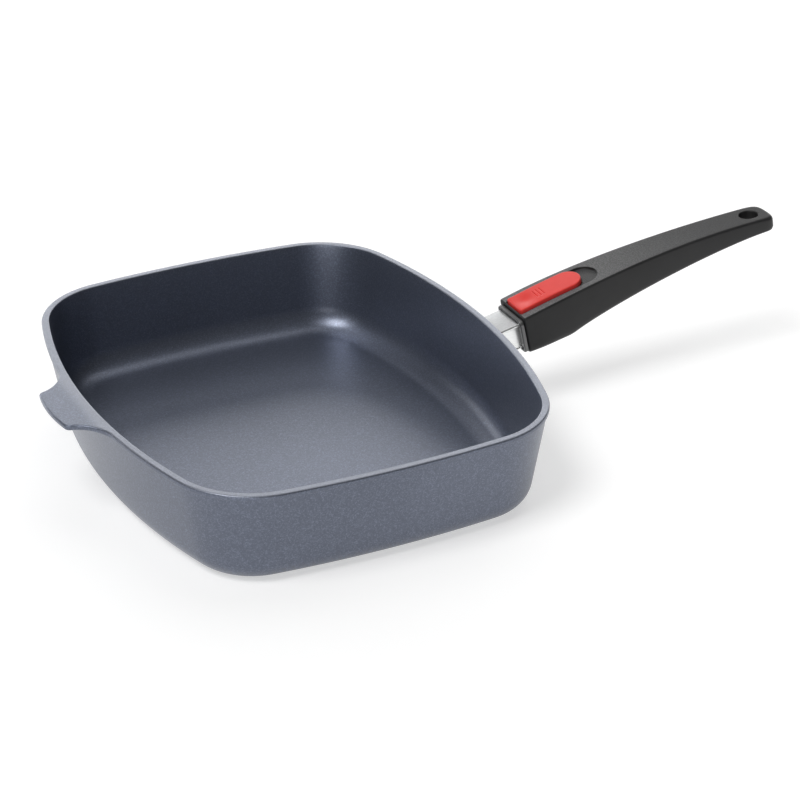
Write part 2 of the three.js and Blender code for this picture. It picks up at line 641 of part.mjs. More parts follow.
function handleShell() {
  const sections = shellStations().map((x) => shellSection(x));
  const blank = loft([shellSection(shellFront, SHELL_EDGE / 2), ...sections], 'x');
  const pocket = collarOutside + SEAT_GAP;
  const recessHalf = BUTTON_WIDTH / 2 + BUTTON_GAP;
  const open = topCrest + BUTTON_PROUD;
  const earHalf = cheekOutside + CARRIER_EAR + SEAT_GAP;
  const slotHalf = cheekOutside + SLIDE_FIT;
  const tabHalf = SPRING_RADIUS + CHEEK + SEAT_GAP;
  const boreRadius = SPRING_RADIUS + SLIDE_FIT;
  const ceiling = springZ + boreRadius;
  const carrierFloor = carrierLow - LINER_WALL / 2;
  const earTop = carrierLow + CHEEK + SEAT_GAP;
  const collarPocket = roundedRect(collarHalf + SEAT_GAP, -pocket, pocket, 2 * LINER_WALL);
  const sleevePocket = roundedRect(sleeveHalf + SEAT_GAP, -pocket, carrierLow, LINER_WALL);
  const blockPocket = roundedRect(sleeveHalf + SEAT_GAP, blockLow - SEAT_GAP, carrierLow, LINER_WALL);
  const recess = buttonPlan(recessFront, recessBack, recessHalf, BUTTON_CORNER);
  return blank
    .subtract(prismX(collarPocket, 0, COLLAR_LENGTH + SEAT_GAP))
    .subtract(prismX(sleevePocket, shellFront, sleeveBack + SEAT_GAP))
    .subtract(prismX(blockPocket, socketEnd, linerBack + SEAT_GAP))
    .subtract(box([shellFront, carrierRoomBack], [-earHalf, earHalf], [carrierFloor, earTop]))
    .subtract(box([cheekBack, carrierRoomBack], [-tabHalf, tabHalf], [carrierFloor, ceiling]))
    .subtract(box([slotFront, slotBack], [-slotHalf, slotHalf], [carrierLow, open]))
    .subtract(prismZ(recess, recessFloor, open))
    .subtract(rodX(boreRadius, carrierRoomBack - SEAT_GAP, springBack + SEAT_GAP, 0, springZ))
    .subtract(rodX(GUIDE_RADIUS + SEAT_GAP, springBack, springBack + GUIDE_SEAT + SEAT_GAP, 0, springZ))
    .subtract(rodZ(SCREW_RADIUS + SEAT_GAP, underKnee, 0, linerScrewX))
    .subtract(rodZ(SCREW_HEAD_RADIUS + SEAT_GAP, 2 * underKnee, linerScrewSeat, linerScrewX))
    .subtract(hangHole());
}

// Oval hole square to the top of the tail
function hangHole() {
  const x = HANDLE_LENGTH - HANG_HOLE_INSET;
  const slope = -(x - TOP_CREST) / TOP_BOW;
  const half = HANG_HOLE_STRAIGHT / 2;
  const deep = 2 * topCrest;
  const oval = extrude(roundSlot([-half, 0], [half, 0], HANG_HOLE_RADIUS), 2 * deep, ALONG_Z, HOLE_STEPS);
  return solid(oval.translate(0, 0, -deep).rotateY(-Math.atan(slope)).translate(x, 0, topAt(x)));
}

// Screw up through the underside into the liner's end block
function linerScrew() {
  const low = underAt(linerScrewX) + SEAT_GAP;
  const seat = linerScrewSeat - SEAT_GAP;
  const profile = [
    [0, low], [SCREW_HEAD_RADIUS, low], [SCREW_HEAD_RADIUS, seat], [SCREW_RADIUS, seat],
    [SCREW_RADIUS, linerScrewTop], [0, linerScrewTop],
  ].map(([radius, z]) => new THREE.Vector2(radius, z));
  const screw = solid(new THREE.LatheGeometry(profile, ROD_SIDES).rotateX(QUARTER));
  const hex = rodZ(hexCorner, low - SEAT_GAP, (low + seat) / 2, 0, HEX_SIDES);
  return screw.subtract(hex).translate(linerScrewX, 0, 0);
}

// Button: crowned along the handle's top, hollow over the carrier's cheeks, with pegs that snap in
function buttonHalfAt(x) {
  const half = BUTTON_WIDTH / 2;
  const behind = x - (buttonBack - half);
  if (behind > 0) return Math.sqrt(Math.max(half ** 2 - behind ** 2, 0));
  const ahead = Math.max(buttonFront + BUTTON_CORNER - x, 0);
  return half - BUTTON_CORNER + Math.sqrt(Math.max(BUTTON_CORNER ** 2 - ahead ** 2, 0));
}

function buttonSection(x) {
  const half = buttonHalfAt(x);
  const chamfer = Math.min(BUTTON_CHAMFER, half / 2);
  const ends = Math.max(buttonFront + BUTTON_CHAMFER - x, 0);
  const high = topAt(x) + BUTTON_PROUD - ends;
  return [
    [0, high], [-half + chamfer, high], [-half, high - chamfer], [-half, buttonLow],
    [0, buttonLow], [half, buttonLow], [half, high - chamfer], [half - chamfer, high],
  ].map(([y, z]) => [x, y, z]);
}

const pegX = cheekFront + CHEEK_FRONT / 2;
const pegZ = buttonLow + PEG_RADIUS + SEAT_GAP;

function slideButton() {
  const half = BUTTON_WIDTH / 2;
  const roundCentre = buttonBack - half;
  const stations = [buttonFront, buttonFront + BUTTON_CHAMFER, buttonFront + BUTTON_CORNER];
  for (let k = 1; k <= BUTTON_STEPS; k += 1) {
    stations.push(THREE.MathUtils.lerp(buttonFront + BUTTON_CORNER, roundCentre, k / BUTTON_STEPS));
  }
  stations.push(...roundEnd(roundCentre, half, 1));
  const blank = loft(stations.map(buttonSection), 'x');
  const hollowHalf = cheekOutside + SEAT_GAP;
  const hollow = box(
    [cheekFront - SEAT_GAP, cheekBack + SEAT_GAP], [-hollowHalf, hollowHalf], [0, cheekTop + SEAT_GAP]);
  const peg = rodY(PEG_RADIUS, hollowHalf + SEAT_GAP, pegX, pegZ);
  const gap = CHEEK_SPACE / 2;
  const between = box([pegX - half, pegX + half], [-gap, gap], [0, cheekTop]);
  return blank.subtract(hollow).add(peg.subtract(between));
}

// Carrier: two cheeks with cam slots, joined by plates before and behind the bolt
function slideCarrier() {
  const plateHalf = cheekOutside + CARRIER_EAR;
  const plateZ = [carrierLow, carrierLow + CHEEK];
  const ribReach = BOLT_LENGTH / 2 + SEAT_GAP + GUIDE_RIB + SEAT_GAP;
  const tabHalf = SPRING_RADIUS + CHEEK;
  const cam = roundSlot([boltX, pinZ], [boltX - BUTTON_TRAVEL, pinZ + BOLT_LIFT], camHalf);
  let carrier = box([cheekFront, boltX - ribReach - BUTTON_TRAVEL], [-plateHalf, plateHalf], plateZ)
    .add(box([boltX + ribReach, carrierBack], [-plateHalf, plateHalf], plateZ))
    .add(box([carrierBack - CHEEK, carrierBack], [-tabHalf, tabHalf], [carrierLow, springZ + SPRING_RADIUS]));
  for (const side of [-1, 1]) {
    const faces = [side * CHEEK_SPACE / 2, side * cheekOutside].sort((a, b) => a - b);
    carrier = carrier.add(box([cheekFront, cheekBack], faces, [carrierLow, cheekTop]));
  }
  return carrier
    .subtract(prismY(cam, plateHalf))
    .subtract(rodY(PEG_RADIUS + SEAT_GAP, plateHalf, pegX, pegZ));
}

// Bolt: a flat bar with a ramp that rides over the tongue's tip when the handle is pushed on
function lockBolt() {
  const half = BOLT_LENGTH / 2;
  const shape = new THREE.Shape();
  shape.moveTo(boltX - half + BOLT_RAMP, boltLow);
  shape.lineTo(boltX + half, boltLow);
  shape.lineTo(boltX + half, pinZ + BOLT_HEAD);
  shape.lineTo(boltX - half, pinZ + BOLT_HEAD);
  shape.lineTo(boltX - half, boltLow + BOLT_RAMP);
  return prismY(shape, BOLT_WIDTH / 2).subtract(rodY(PIN_RADIUS + SEAT_GAP, BOLT_WIDTH, boltX, pinZ));
}

class Helix extends THREE.Curve {
  getPoint(t) {
    const turn = 2 * Math.PI * SPRING_TURNS * t;
    const radius = SPRING_RADIUS - SPRING_WIRE;
    const run = SPRING_LENGTH - 2 * SPRING_WIRE;
    return new THREE.Vector3(
      springFront + SPRING_WIRE + run * t, radius * Math.cos(turn), springZ + radius * Math.sin(turn));
  }
}

function returnSpring() {
  const wire = new THREE.Shape();
  wire.absarc(0, 0, SPRING_WIRE, 0, 2 * Math.PI);
  return solid(new THREE.ExtrudeGeometry(wire, {
    steps: COIL_STEPS * SPRING_TURNS,
    extrudePath: new Helix(),
    curveSegments: WIRE_SIDES,
    bevelEnabled: false,
  }));
}

function springGuide() {
  return rodX(GUIDE_RADIUS, carrierRoomBack + SEAT_GAP, springBack + GUIDE_SEAT, 0, springZ);
}

// Assembly
const part = new THREE.Group();
part.add(handleFrame);

function piece(group, name, body, material) {
  const mesh = new THREE.Mesh(geometryOf(body), material);
  mesh.name = name;
  group.add(mesh);
}

piece(part, 'pan_body', panBody(), COATING);
piece(handleFrame, 'handle_stub', handleStub(), BARE_CAST);
for (const [side, y] of Object.entries(screwSides)) {
  piece(handleFrame, `stub_screw_${side}`, stubScrew(y), STEEL);
  piece(handleFrame, `stub_washer_${side}`, stubWasher(y), STEEL);
}
piece(handleFrame, 'handle_shell', handleShell(), BLACK_MOULDING);
piece(handleFrame, 'socket_liner', socketLiner(), BEZEL_METAL);
piece(handleFrame, 'liner_screw', linerScrew(), STEEL);
piece(handleFrame, 'slide_button', slideButton(), RED_PLASTIC);
piece(handleFrame, 'slide_carrier', slideCarrier(), STEEL);
piece(handleFrame, 'lock_bolt', lockBolt(), STEEL);
piece(handleFrame, 'bolt_pin', rodY(PIN_RADIUS, cheekOutside, boltX, pinZ), STEEL);
piece(handleFrame, 'return_spring', returnSpring(), STEEL);
piece(handleFrame, 'spring_guide', springGuide(), STEEL);

export default part;
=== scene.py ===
"""Looks of a deep rectangular frying pan with a pull-off handle, on the frame of its CAD model.

Shapes are drawn in millimetres, either in the pan's frame or in the handle's, whose x runs along
the stub and starts at the bezel's front, and are placed in metres.
"""

import math

import bmesh
import bpy
from mathutils import Matrix, Vector


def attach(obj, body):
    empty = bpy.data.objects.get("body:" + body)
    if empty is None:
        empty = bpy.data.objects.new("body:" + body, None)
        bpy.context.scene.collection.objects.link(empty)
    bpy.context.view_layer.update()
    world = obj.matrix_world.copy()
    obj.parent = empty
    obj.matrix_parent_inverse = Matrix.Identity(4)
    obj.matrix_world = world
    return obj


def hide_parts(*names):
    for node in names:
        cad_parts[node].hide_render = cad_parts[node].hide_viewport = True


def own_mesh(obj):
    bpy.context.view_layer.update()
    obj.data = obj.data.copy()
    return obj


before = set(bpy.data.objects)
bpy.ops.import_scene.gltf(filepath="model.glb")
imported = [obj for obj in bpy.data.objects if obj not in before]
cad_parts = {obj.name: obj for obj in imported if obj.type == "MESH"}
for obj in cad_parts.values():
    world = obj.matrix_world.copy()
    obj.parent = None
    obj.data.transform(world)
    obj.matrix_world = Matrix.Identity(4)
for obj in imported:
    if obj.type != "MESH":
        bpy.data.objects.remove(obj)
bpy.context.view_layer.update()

MM = 0.001

# Pan casting
PAN_LENGTH = 280  # along the handle
PAN_WIDTH = 324
PAN_HEIGHT = 66
LENGTH_SIDE_BOW = 422  # radius of the sides that the handle and the tab are on
WIDTH_SIDE_BOW = 766  # radius of the other two sides
CORNER_RADIUS = 58.6
CORNER_SHRINK = 1.25  # loss of corner radius for each mm of inset
LEAST_CORNER = 6
WALL_TAPER = 10  # degrees
OUTER_WALL_LEVELS = (22, 32, 42, 52, 59.5, 61.4)
INNER_WALL_LEVELS = (63, 53, 43, 33)
BASE_ROUND = 16
RIM_WIDTH = 5
RIM_ROUND = 0.8
RIM_OUTER_ROUND = 1.1
RIM_GUARD = 0.4  # a ring this far from a round edge keeps the flat beside it flat
LIP_LOW = 62.4
LIP_REACH = 1.2
LIP_FILLET = 0.5
LIP_FILLET_DROP = 0.3
LIP_UNDER_INSET = 0.75
LIP_UNDER_SHARE = 0.25  # of the way out to the tab's edge
LIP_EDGE = (  # inset and rise, and shares of the tab's softer edge and of its drop
    (0.7, 0, 1, 1),
    (0.3, 0.15, 1 / 2.2, 0.4),
    (0.08, 0.5, 1 / 5, 0),
    (0, 0.9, 1 / 12, 0),
)
FLOOR_THICKNESS = 7
FLOOR_ROUND = 19
FLAT_GUARD = 1
BASE_GROOVE_INSET = 37
BASE_GROOVE_DEPTH = 0.5
BASE_GROOVE_HALF = 1
BASE_GROOVE_BED = 0.6
BASE_GROOVE_GUARD = 3

# Helper tab
TAB_REACH = 20.95
TAB_TIP_HALF = 25.2
TAB_CORNER = 3.8
TAB_CORNER_RUN = 3.3
TAB_CORNER_PULL = (0.4, 0.8)
TAB_TIP_BOW = 2
TAB_PULL = 9  # length of the control lines of its flared sides
TAB_MEET = 47  # from the middle to where its outline leaves the rim
TAB_BLEND = 8  # reach beyond the rim at which its own edge has set in
TAB_DROP = 0.6
TAB_UNDER_ROUND = 1.8

# Handle frame
HANDLE_TILT = 12.4  # degrees
HANDLE_START = (162, 0, 50.5)
SEAT_GAP = 0.3
HAIR = 0.05  # a small offset, so that no two faces of joined or cut pieces share a plane
OVERCUT = 0.1  # a cutter's flare just above the surface that it opens
OVERCUT_RISE = 0.06
LAST_SLICE = 0.012  # a round end stops this short of closing to a line

# Boss and stub
BOSS_FACE = -19
BOSS_HALF_WIDTH = 15.4
BOSS_HALF_HEIGHT = 12.2
BOSS_CORNER = 4.8
BOSS_FILLET = 3
BOSS_FILLET_SHARE = 0.35  # of the way from the wall to the face
BOSS_ROOT = 2  # depth inside the outer wall
BOSS_EDGE = 0.6
STUB_ROOT = -18.7
STUB_HALF = 13
STUB_TOP = 9.8
STUB_FLANGE = 2.4
STUB_FOOT = 1.6
STUB_FOOT_SETBACK = 0.4
STUB_WEB = 10.6
STUB_INNER_ROUND = 0.5
SHOULDER = 5  # where the bar ends and the tongue goes on
TONGUE_HALF = 10
TONGUE_TOP = 4.6
TONGUE_TIP = 43.3
TONGUE_CORNER = 2.4
TONGUE_LEAD = 1.2
SCREW_RADIUS = 2
SCREW_POINT = 0.5
SCREW_NECK = 0.2
HEAD_RADIUS = 3.5
HEAD_HEIGHT = 4
HEAD_EDGE = 0.4
SMALL_EDGE = 0.15
HEX_CORNER = 1.73
SCREW_SIDE = 5.4
SCREW_Z = -5.2
SCREW_SEAT = -6.7
SCREW_END = -27.5
WASHER = 1

# Socket liner
BEZEL_DEPTH = 2.7
BEZEL_HALF = 15.9
BEZEL_TALL = 12.1
BEZEL_CORNER = 3.3
BEZEL_ROUND = 0.8
BEZEL_BACK_EDGE = 0.3
MOUTH_ROUND = 0.6
MOUTH_EASE = 0.17
COLLAR_HALF = 14.8
COLLAR_TALL = 11.6
COLLAR_BACK = 8
COLLAR_BORE_HALF = 13.4
COLLAR_BORE_TALL = 10.2
SLEEVE_HALF = 11.8
SLEEVE_TOP = 6.4
SLEEVE_BACK = 45.3
SLEEVE_BORE_HALF = 10.4
SLEEVE_BORE_TOP = 5
SOCKET_END = 43.9
BLOCK_LOW = -8.1
LINER_BACK = 55.3
LINER_SCREW_X = 50.3
LINER_SCREW_SEAT = -9.6
LINER_SCREW_TOP = 0.4
LINER_SCREW_POINT = 0.4
LINER_SCREW_EDGE = 0.3
LINER_SCREW_EASE = (0.08, 0.1)  # a point on that round edge, in and up
LINER_WALL = 1.4
LINER_EDGE = 0.4
KEY_FRONT = 0.3
KEY_INSIDE = 11
KEY_LOW = -7.8
KEY_TOP = 7

# Latch
BOLT_X = 36.3
BOLT_ROOM = 2.3
BOLT_SIDE = 4.3
BOLT_NOTCH_LOW = 0.6
RIB_WIDTH = 1.5
RIB_TOP = 9.4
CARRIER_LOW = 6.7
CARRIER_FLOOR = 6
CARRIER_ROOM_BACK = 57.6
CHEEK_FRONT = 17.1
CHEEK_BACK = 43
CHEEK_OUTSIDE = 6.2
CHEEK_GAP = 5
CHEEK_TOP = 15.1
EAR_HALF = 8.5
EAR_TOP = 8.2
TAIL_TAB_HALF = 3.7
SLOT_FRONT = 16.8
SLOT_BACK = 54.3
SLOT_GAP = 0.4
SPRING_Z = 9.2
SPRING_BORE = 2.6
SPRING_RADIUS = 1.85
SPRING_WIRE = 0.35
SPRING_FRONT = 46.6
SPRING_BACK = 81.6
SPRING_TURNS = 12
GUIDE_BORE = 1.3
GUIDE_BACK = 87.9

# Handle shell
SHELL_FRONT = 3
SHELL_FRONT_HALF = 17.2
SHELL_TAIL = 203
TAIL_HALF = 11.8
TOP_CREST = 16.7
TOP_CREST_X = 62
TOP_BOW = 800
TAIL_END = 10.5
TAIL_SQUARENESS = 3.2
UNDER_FRONT = -13.2
UNDER_KNEE = -16.2
KNEE_X = 37
KNEE_SOFT = 3.5
TAIL_UNDER = -6.8
SHELL_EDGE = 1.4
GRIP_EDGE = 1.8
TAIL_EDGE = 3.2
TAIL_EDGE_RUN = 3
FRONT_ROUND = 1.1
UNDER_ROUND = 0.2  # share of the height
SIDE_LEAN = 0.05  # share of the height
RECESS_FRONT = 4.2
RECESS_BACK = 67.5
RECESS_HALF = 10.6
RECESS_FLOOR = 12.9
RECESS_SHELF = 15.2
RECESS_FILLET = 0.7
RECESS_LIP = 0.5
HANG_HOLE_X = 188.2
HANG_HOLE_RADIUS = 5.7
HANG_HOLE_STRAIGHT = 1.1
HANG_HOLE_FLARE = 0.8
GRAIN_AND_SHADE_FADE = (120, 340)  # in the pan's frame; over it the grain fades and painted shade darkens the handle's top towards the tail
SHADE_FRONT = 205  # in the pan's frame, over the recess behind the button, whose floor is darkened by painted shade
SHADE_BACK = 227

# Red button
BUTTON_FRONT = 4.8
BUTTON_BACK = 55.3
BUTTON_HALF = 10
BUTTON_CORNER = 1.6
BUTTON_PROUD = 2.4
BUTTON_ROUND = 0.9
BUTTON_LOW = 13.2
BUTTON_TRAVEL = 11
BUTTON_LOW_EDGE = 0.3
DISH_X = 12.5
DISH_DEPTH = 1.1
DISH_RUN = 5.5
DISH_WIDE = 6.5
GRIP_GROOVES = (21.5, 24, 26.5)
GRIP_GROOVE_DEPTH = 0.6
GRIP_GROOVE_HALF = 0.7
GRIP_GROOVE_BED = 0.15  # share of its half width
GRIP_GROOVE_REACH = 5
PEG_RADIUS = 0.8
PEG_X = 21.2
PEG_Z = 14.3
PEG_ROOT = 0.3

PAN = Matrix.Identity(4)
HANDLE_TURN = Matrix.Rotation(-math.radians(HANDLE_TILT), 4, "Y")
HANDLE = Matrix.Translation(Vector(HANDLE_START) * MM) @ HANDLE_TURN
HANDLE_ALONG = HANDLE.to_3x3() @ Vector((1, 0, 0))
HANDLE_UP = HANDLE.to_3x3() @ Vector((0, 0, 1))


# Curves

def arc(centre, radius, start, end, steps):
    """Points on an arc between two angles in degrees, both ends kept."""
    points = []
    for step in range(steps + 1):
        turn = math.radians(start + (end - start) * step / steps)
        points.append((centre[0] + radius * math.cos(turn), centre[1] + radius * math.sin(turn)))
    return points


def circle(centre, radius, sides):
    return arc(centre, radius, 0, 360 - 360 / sides, sides - 1)


def bezier(points, share):
    """The point at a share of a Bezier curve of any order."""
    while len(points) > 1:
        points = [tuple(a + (b - a) * share for a, b in zip(p, q)) for p, q in zip(points, points[1:])]
    return points[0]


def bezier_height(points, x):
    """Height at x of a Bezier curve whose x rises."""
    low, high = 0.0, 1.0
    for _ in range(40):
        middle = (low + high) / 2
        if bezier(points, middle)[0] < x:
            low = middle
        else:
            high = middle
    return bezier(points, low)[1]


def evenly(points, steps):
    """The same path in equal steps."""
    runs = [0.0]
    for p, q in zip(points, points[1:]):
        runs.append(runs[-1] + math.dist(p, q))
    path = []
    place = 0
    for step in range(steps + 1):
        run = runs[-1] * step / steps
        while place + 2 < len(runs) and runs[place + 1] < run:
            place += 1
        share = (run - runs[place]) / (runs[place + 1] - runs[place])
        path.append(tuple(a + (b - a) * share for a, b in zip(points[place], points[place + 1])))
    return path


def smoothstep(low, high, value):
    share = min(max((value - low) / (high - low), 0.0), 1.0)
    return share * share * (3 - 2 * share)


def rounded(distance, radius):
    """How far a round edge has dropped at a distance inside the outline."""
    if distance >= radius:
        return 0.0
    return radius - math.sqrt(max(radius ** 2 - (radius - max(distance, 0.0)) ** 2, 0.0))


def rounded_rect(half, low, high, radius, steps=6):
    return [
        *arc((half - radius, low + radius), radius, -90, 0, steps),
        *arc((half - radius, high - radius), radius, 0, 90, steps),
        *arc((-half + radius, high - radius), radius, 90, 180, steps),
        *arc((-half + radius, low + radius), radius, 180, 270, steps),
    ]


def at_x(section, x):
    return [(x, y, z) for y, z in section]


def at_z(section, z):
    return [(x, y, z) for x, y in section]


# Mesh work

def skin(name, rings, place=HANDLE):
    """Extrudes a polygon from ring to ring, so that the skin is closed at both ends."""
    bpy.ops.object.select_all(action="DESELECT")
    bpy.ops.mesh.primitive_circle_add(
        vertices=len(rings[0]), radius=MM, fill_type="NGON", enter_editmode=True)
    piece = bpy.context.object
    piece.name = name
    mesh = bmesh.from_edit_mesh(piece.data)
    order = mesh.verts.layers.int.new("order")
    for index, vert in enumerate(mesh.verts):
        vert[order] = index
    for number, ring in enumerate(rings):
        if number:
            bpy.ops.mesh.extrude_region()
        mesh = bmesh.from_edit_mesh(piece.data)
        order = mesh.verts.layers.int["order"]
        for vert in mesh.verts:
            if vert.select:
                vert.co = place @ (Vector(ring[vert[order]]) * MM)
    mesh.verts.layers.int.remove(order)
    bpy.ops.mesh.select_all(action="SELECT")
    bpy.ops.mesh.normals_make_consistent(inside=False)
    bpy.ops.object.mode_set(mode="OBJECT")
    return piece


def prism(section, x0, x1):
    return skin("prism", [at_x(section, x0), at_x(section, x1)])


def block(x, y, z):
    return prism([(y[0], z[0]), (y[1], z[0]), (y[1], z[1]), (y[0], z[1])], *x)


def rod_x(radius, x0, x1, y, z, sides=32):
    return prism(circle((y, z), radius, sides), x0, x1)


def rod_z(radius, z0, z1, x, sides=32):
    section = circle((x, 0), radius, sides)
    return skin("rod", [at_z(section, z0), at_z(section, z1)])


def rod_y(radius, y0, y1, x, z, sides=24):
    section = circle((x, z), radius, sides)
    return skin("rod", [[(u, y, v) for u, v in section] for y in (y0, y1)])


def combined(piece, other, operation):
    bpy.ops.object.select_all(action="DESELECT")
    bpy.context.view_layer.objects.active = piece
    modifier = piece.modifiers.new("combine", "BOOLEAN")
    modifier.operation = operation
    modifier.object = other
    modifier.solver = "EXACT"
    bpy.ops.object.modifier_apply(modifier=modifier.name)
    bpy.data.objects.remove(other)
    return piece


def cut(piece, *cutters):
    for cutter in cutters:
        combined(piece, cutter, "DIFFERENCE")
    return piece


def joined(piece, *others):
    for other in others:
        combined(piece, other, "UNION")
    return piece


def pick(piece):
    bpy.ops.object.select_all(action="DESELECT")
    piece.select_set(True)
    bpy.context.view_layer.objects.active = piece


def finished(piece, name, body, slot, finish, *nodes, smooth=32):
    """Shades a piece, gives it its finish and puts it in the place of its CAD nodes."""
    piece.name = name
    pick(piece)
    bpy.ops.object.shade_smooth_by_angle(angle=math.radians(smooth))
    piece.data.materials.clear()
    piece.data.materials.append(finish.material)
    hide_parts(*nodes)
    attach(piece, body)
    return piece


# Finishes

class Value:
    """A node's output. Sums and products of it add Math nodes."""

    def __init__(self, finish, socket):
        self.finish = finish
        self.socket = socket

    def math(self, operation, *terms):
        return self.finish.node("ShaderNodeMath", {"operation": operation}, dict(enumerate(terms)))

    def __add__(self, other):
        return self.math("ADD", self, other)

    def __sub__(self, other):
        return self.math("SUBTRACT", self, other)

    def __rsub__(self, other):
        return self.math("SUBTRACT", other, self)

    def __mul__(self, other):
        return self.math("MULTIPLY", self, other)

    def __pow__(self, other):
        return self.math("POWER", self, other)

    __radd__ = __add__
    __rmul__ = __mul__


class Finish:
    """A material whose nodes are added one by one."""

    def __init__(self, name, constants):
        self.material = bpy.data.materials.new(name)
        self.material.use_nodes = True
        self.tree = self.material.node_tree
        self.shader = self.tree.nodes["Principled BSDF"]
        for socket, value in constants.items():
            self.shader.inputs[socket].default_value = value

    def node(self, kind, settings, sockets, output=0):
        node = self.tree.nodes.new(kind)
        for name, value in settings.items():
            setattr(node, name, value)
        for name, value in sockets.items():
            if isinstance(value, Value):
                self.tree.links.new(value.socket, node.inputs[name])
            else:
                node.inputs[name].default_value = value
        return Value(self, node.outputs[output])

    def feed(self, socket, value):
        self.tree.links.new(value.socket, self.shader.inputs[socket])

    def place(self, scale=(1, 1, 1), turn=(0, 0, 0)):
        """The point of the piece in metres, turned and scaled for a texture."""
        coordinates = self.node("ShaderNodeTexCoord", {}, {}, "Object")
        return self.node(
            "ShaderNodeMapping", {}, {"Vector": coordinates, "Rotation": turn, "Scale": scale})

    def noise(self, place, scale, detail=2.0, roughness=0.5):
        return self.node(
            "ShaderNodeTexNoise", {}, {
                "Vector": place, "Scale": scale, "Detail": detail, "Roughness": roughness})

    def flakes(self, place, scale):
        """A random number for each small cell."""
        colour = self.node("ShaderNodeTexVoronoi", {}, {"Vector": place, "Scale": scale}, "Color")
        return self.node("ShaderNodeSeparateColor", {}, {"Color": colour}, "Red")

    def between(self, value, low, high):
        """The value's rise from 0 at low to 1 at high."""
        return self.node(
            "ShaderNodeMapRange", {"interpolation_type": "SMOOTHSTEP"}, {
                "Value": value, "From Min": low, "From Max": high})

    def blend(self, factor, dark, light):
        return self.node(
            "ShaderNodeMix", {"data_type": "RGBA"}, {
                "Factor": factor, 6: dark, 7: light}, 2)

    def along(self, place, axis):
        return self.node("ShaderNodeSeparateXYZ", {}, {"Vector": place}, axis)

    def up_handle(self, vector):
        """The part of a vector that points to the handle's top side."""
        return self.node(
            "ShaderNodeVectorMath", {"operation": "DOT_PRODUCT"}, {
                0: vector, 1: HANDLE_UP}, "Value")

    def facing_up(self):
        """How squarely the surface faces the handle's top side."""
        return self.up_handle(self.node("ShaderNodeNewGeometry", {}, {}, "Normal"))

    def bump(self, height, strength, distance):
        return self.node(
            "ShaderNodeBump", {}, {
                "Height": height, "Strength": strength, "Distance": distance})


def nonstick_coating():
    """Blue-grey coating with metal flakes, with a painted sheen that makes the flat rim top a little
    paler but leaves the tab.
    """
    finish = Finish("nonstick_coating", {"Coat Weight": 0.35, "Coat Roughness": 0.24})
    place = finish.place()
    sparkle = finish.flakes(place, 1500)
    grain = finish.noise(place, 1100, 3)
    cloud = finish.noise(place, 9, 2)
    flake = sparkle ** 3
    tone = 0.35 * grain + 0.4 * flake + 0.25 * cloud
    coat = finish.blend(tone, (0.078, 0.089, 0.12, 1), (0.243, 0.273, 0.354, 1))
    tab_root = -PAN_LENGTH / 2
    past_tab = finish.between(finish.along(place, "X"), (tab_root - 6) * MM, (tab_root + 2) * MM)
    flat = finish.between(finish.along(place, "Z"), (PAN_HEIGHT - 0.7) * MM, (PAN_HEIGHT - 0.2) * MM)
    # Painted sheen: the flat top of the rim, past the tab, is blended a little towards pale grey.
    rim_painted_sheen = flat * past_tab
    finish.feed("Base Color", finish.blend(0.2 * rim_painted_sheen, coat, (0.52, 0.53, 0.56, 1)))
    finish.feed("Metallic", 0.74 + 0.2 * flake)
    finish.feed("Roughness", 0.35 + 0.12 * grain)
    finish.feed("Normal", finish.bump(grain + 0.6 * sparkle, 0.14, 0.0002))
    return finish


def bare_cast():
    """Brushed along the handle, with painted shade darkening the faces that look up, and a little more
    roughness there.
    """
    finish = Finish("bare_cast", {"Metallic": 1.0})
    tilt = (0, math.radians(HANDLE_TILT), 0)
    brushed = finish.noise(finish.place((60, 1500, 1500), tilt), 1, 3)
    grain = finish.noise(finish.place(), 500, 3)
    on_top = finish.between(finish.facing_up(), 0.9, 0.98)
    # Painted shade: faces that look up are made darker.
    paleness = 0.5 * brushed + 0.6 - 0.66 * on_top
    finish.feed("Base Color", finish.blend(paleness, (0.5, 0.51, 0.52, 1), (0.97, 0.975, 0.97, 1)))
    finish.feed("Roughness", 0.2 + 0.14 * brushed + 0.08 * grain + 0.1 * on_top)
    finish.feed("Normal", finish.bump(brushed + 0.5 * grain, 0.08, 0.0002))
    return finish


def satin_steel():
    finish = Finish("satin_steel", {"Metallic": 1.0})
    tilt = (0, math.radians(HANDLE_TILT), 0)
    drawn = finish.noise(finish.place((120, 1800, 1800), tilt), 1, 3)
    stain = finish.noise(finish.place(), 140, 3)
    finish.feed("Base Color", finish.blend(stain, (0.5, 0.51, 0.53, 1), (0.7, 0.71, 0.73, 1)))
    finish.feed("Roughness", 0.22 + 0.2 * drawn)
    finish.feed("Normal", finish.bump(drawn, 0.06, 0.0002))
    return finish


def bezel_metal():
    finish = Finish("bezel_metal", {"Metallic": 0.8})
    grain = finish.noise(finish.place(), 1400, 2)
    cloud = finish.noise(finish.place(), 60, 2)
    finish.feed("Base Color", finish.blend(cloud, (0.14, 0.141, 0.142, 1), (0.22, 0.22, 0.22, 1)))
    finish.feed("Roughness", 0.3 + 0.16 * grain)
    finish.feed("Normal", finish.bump(grain, 0.06, 0.0002))
    return finish


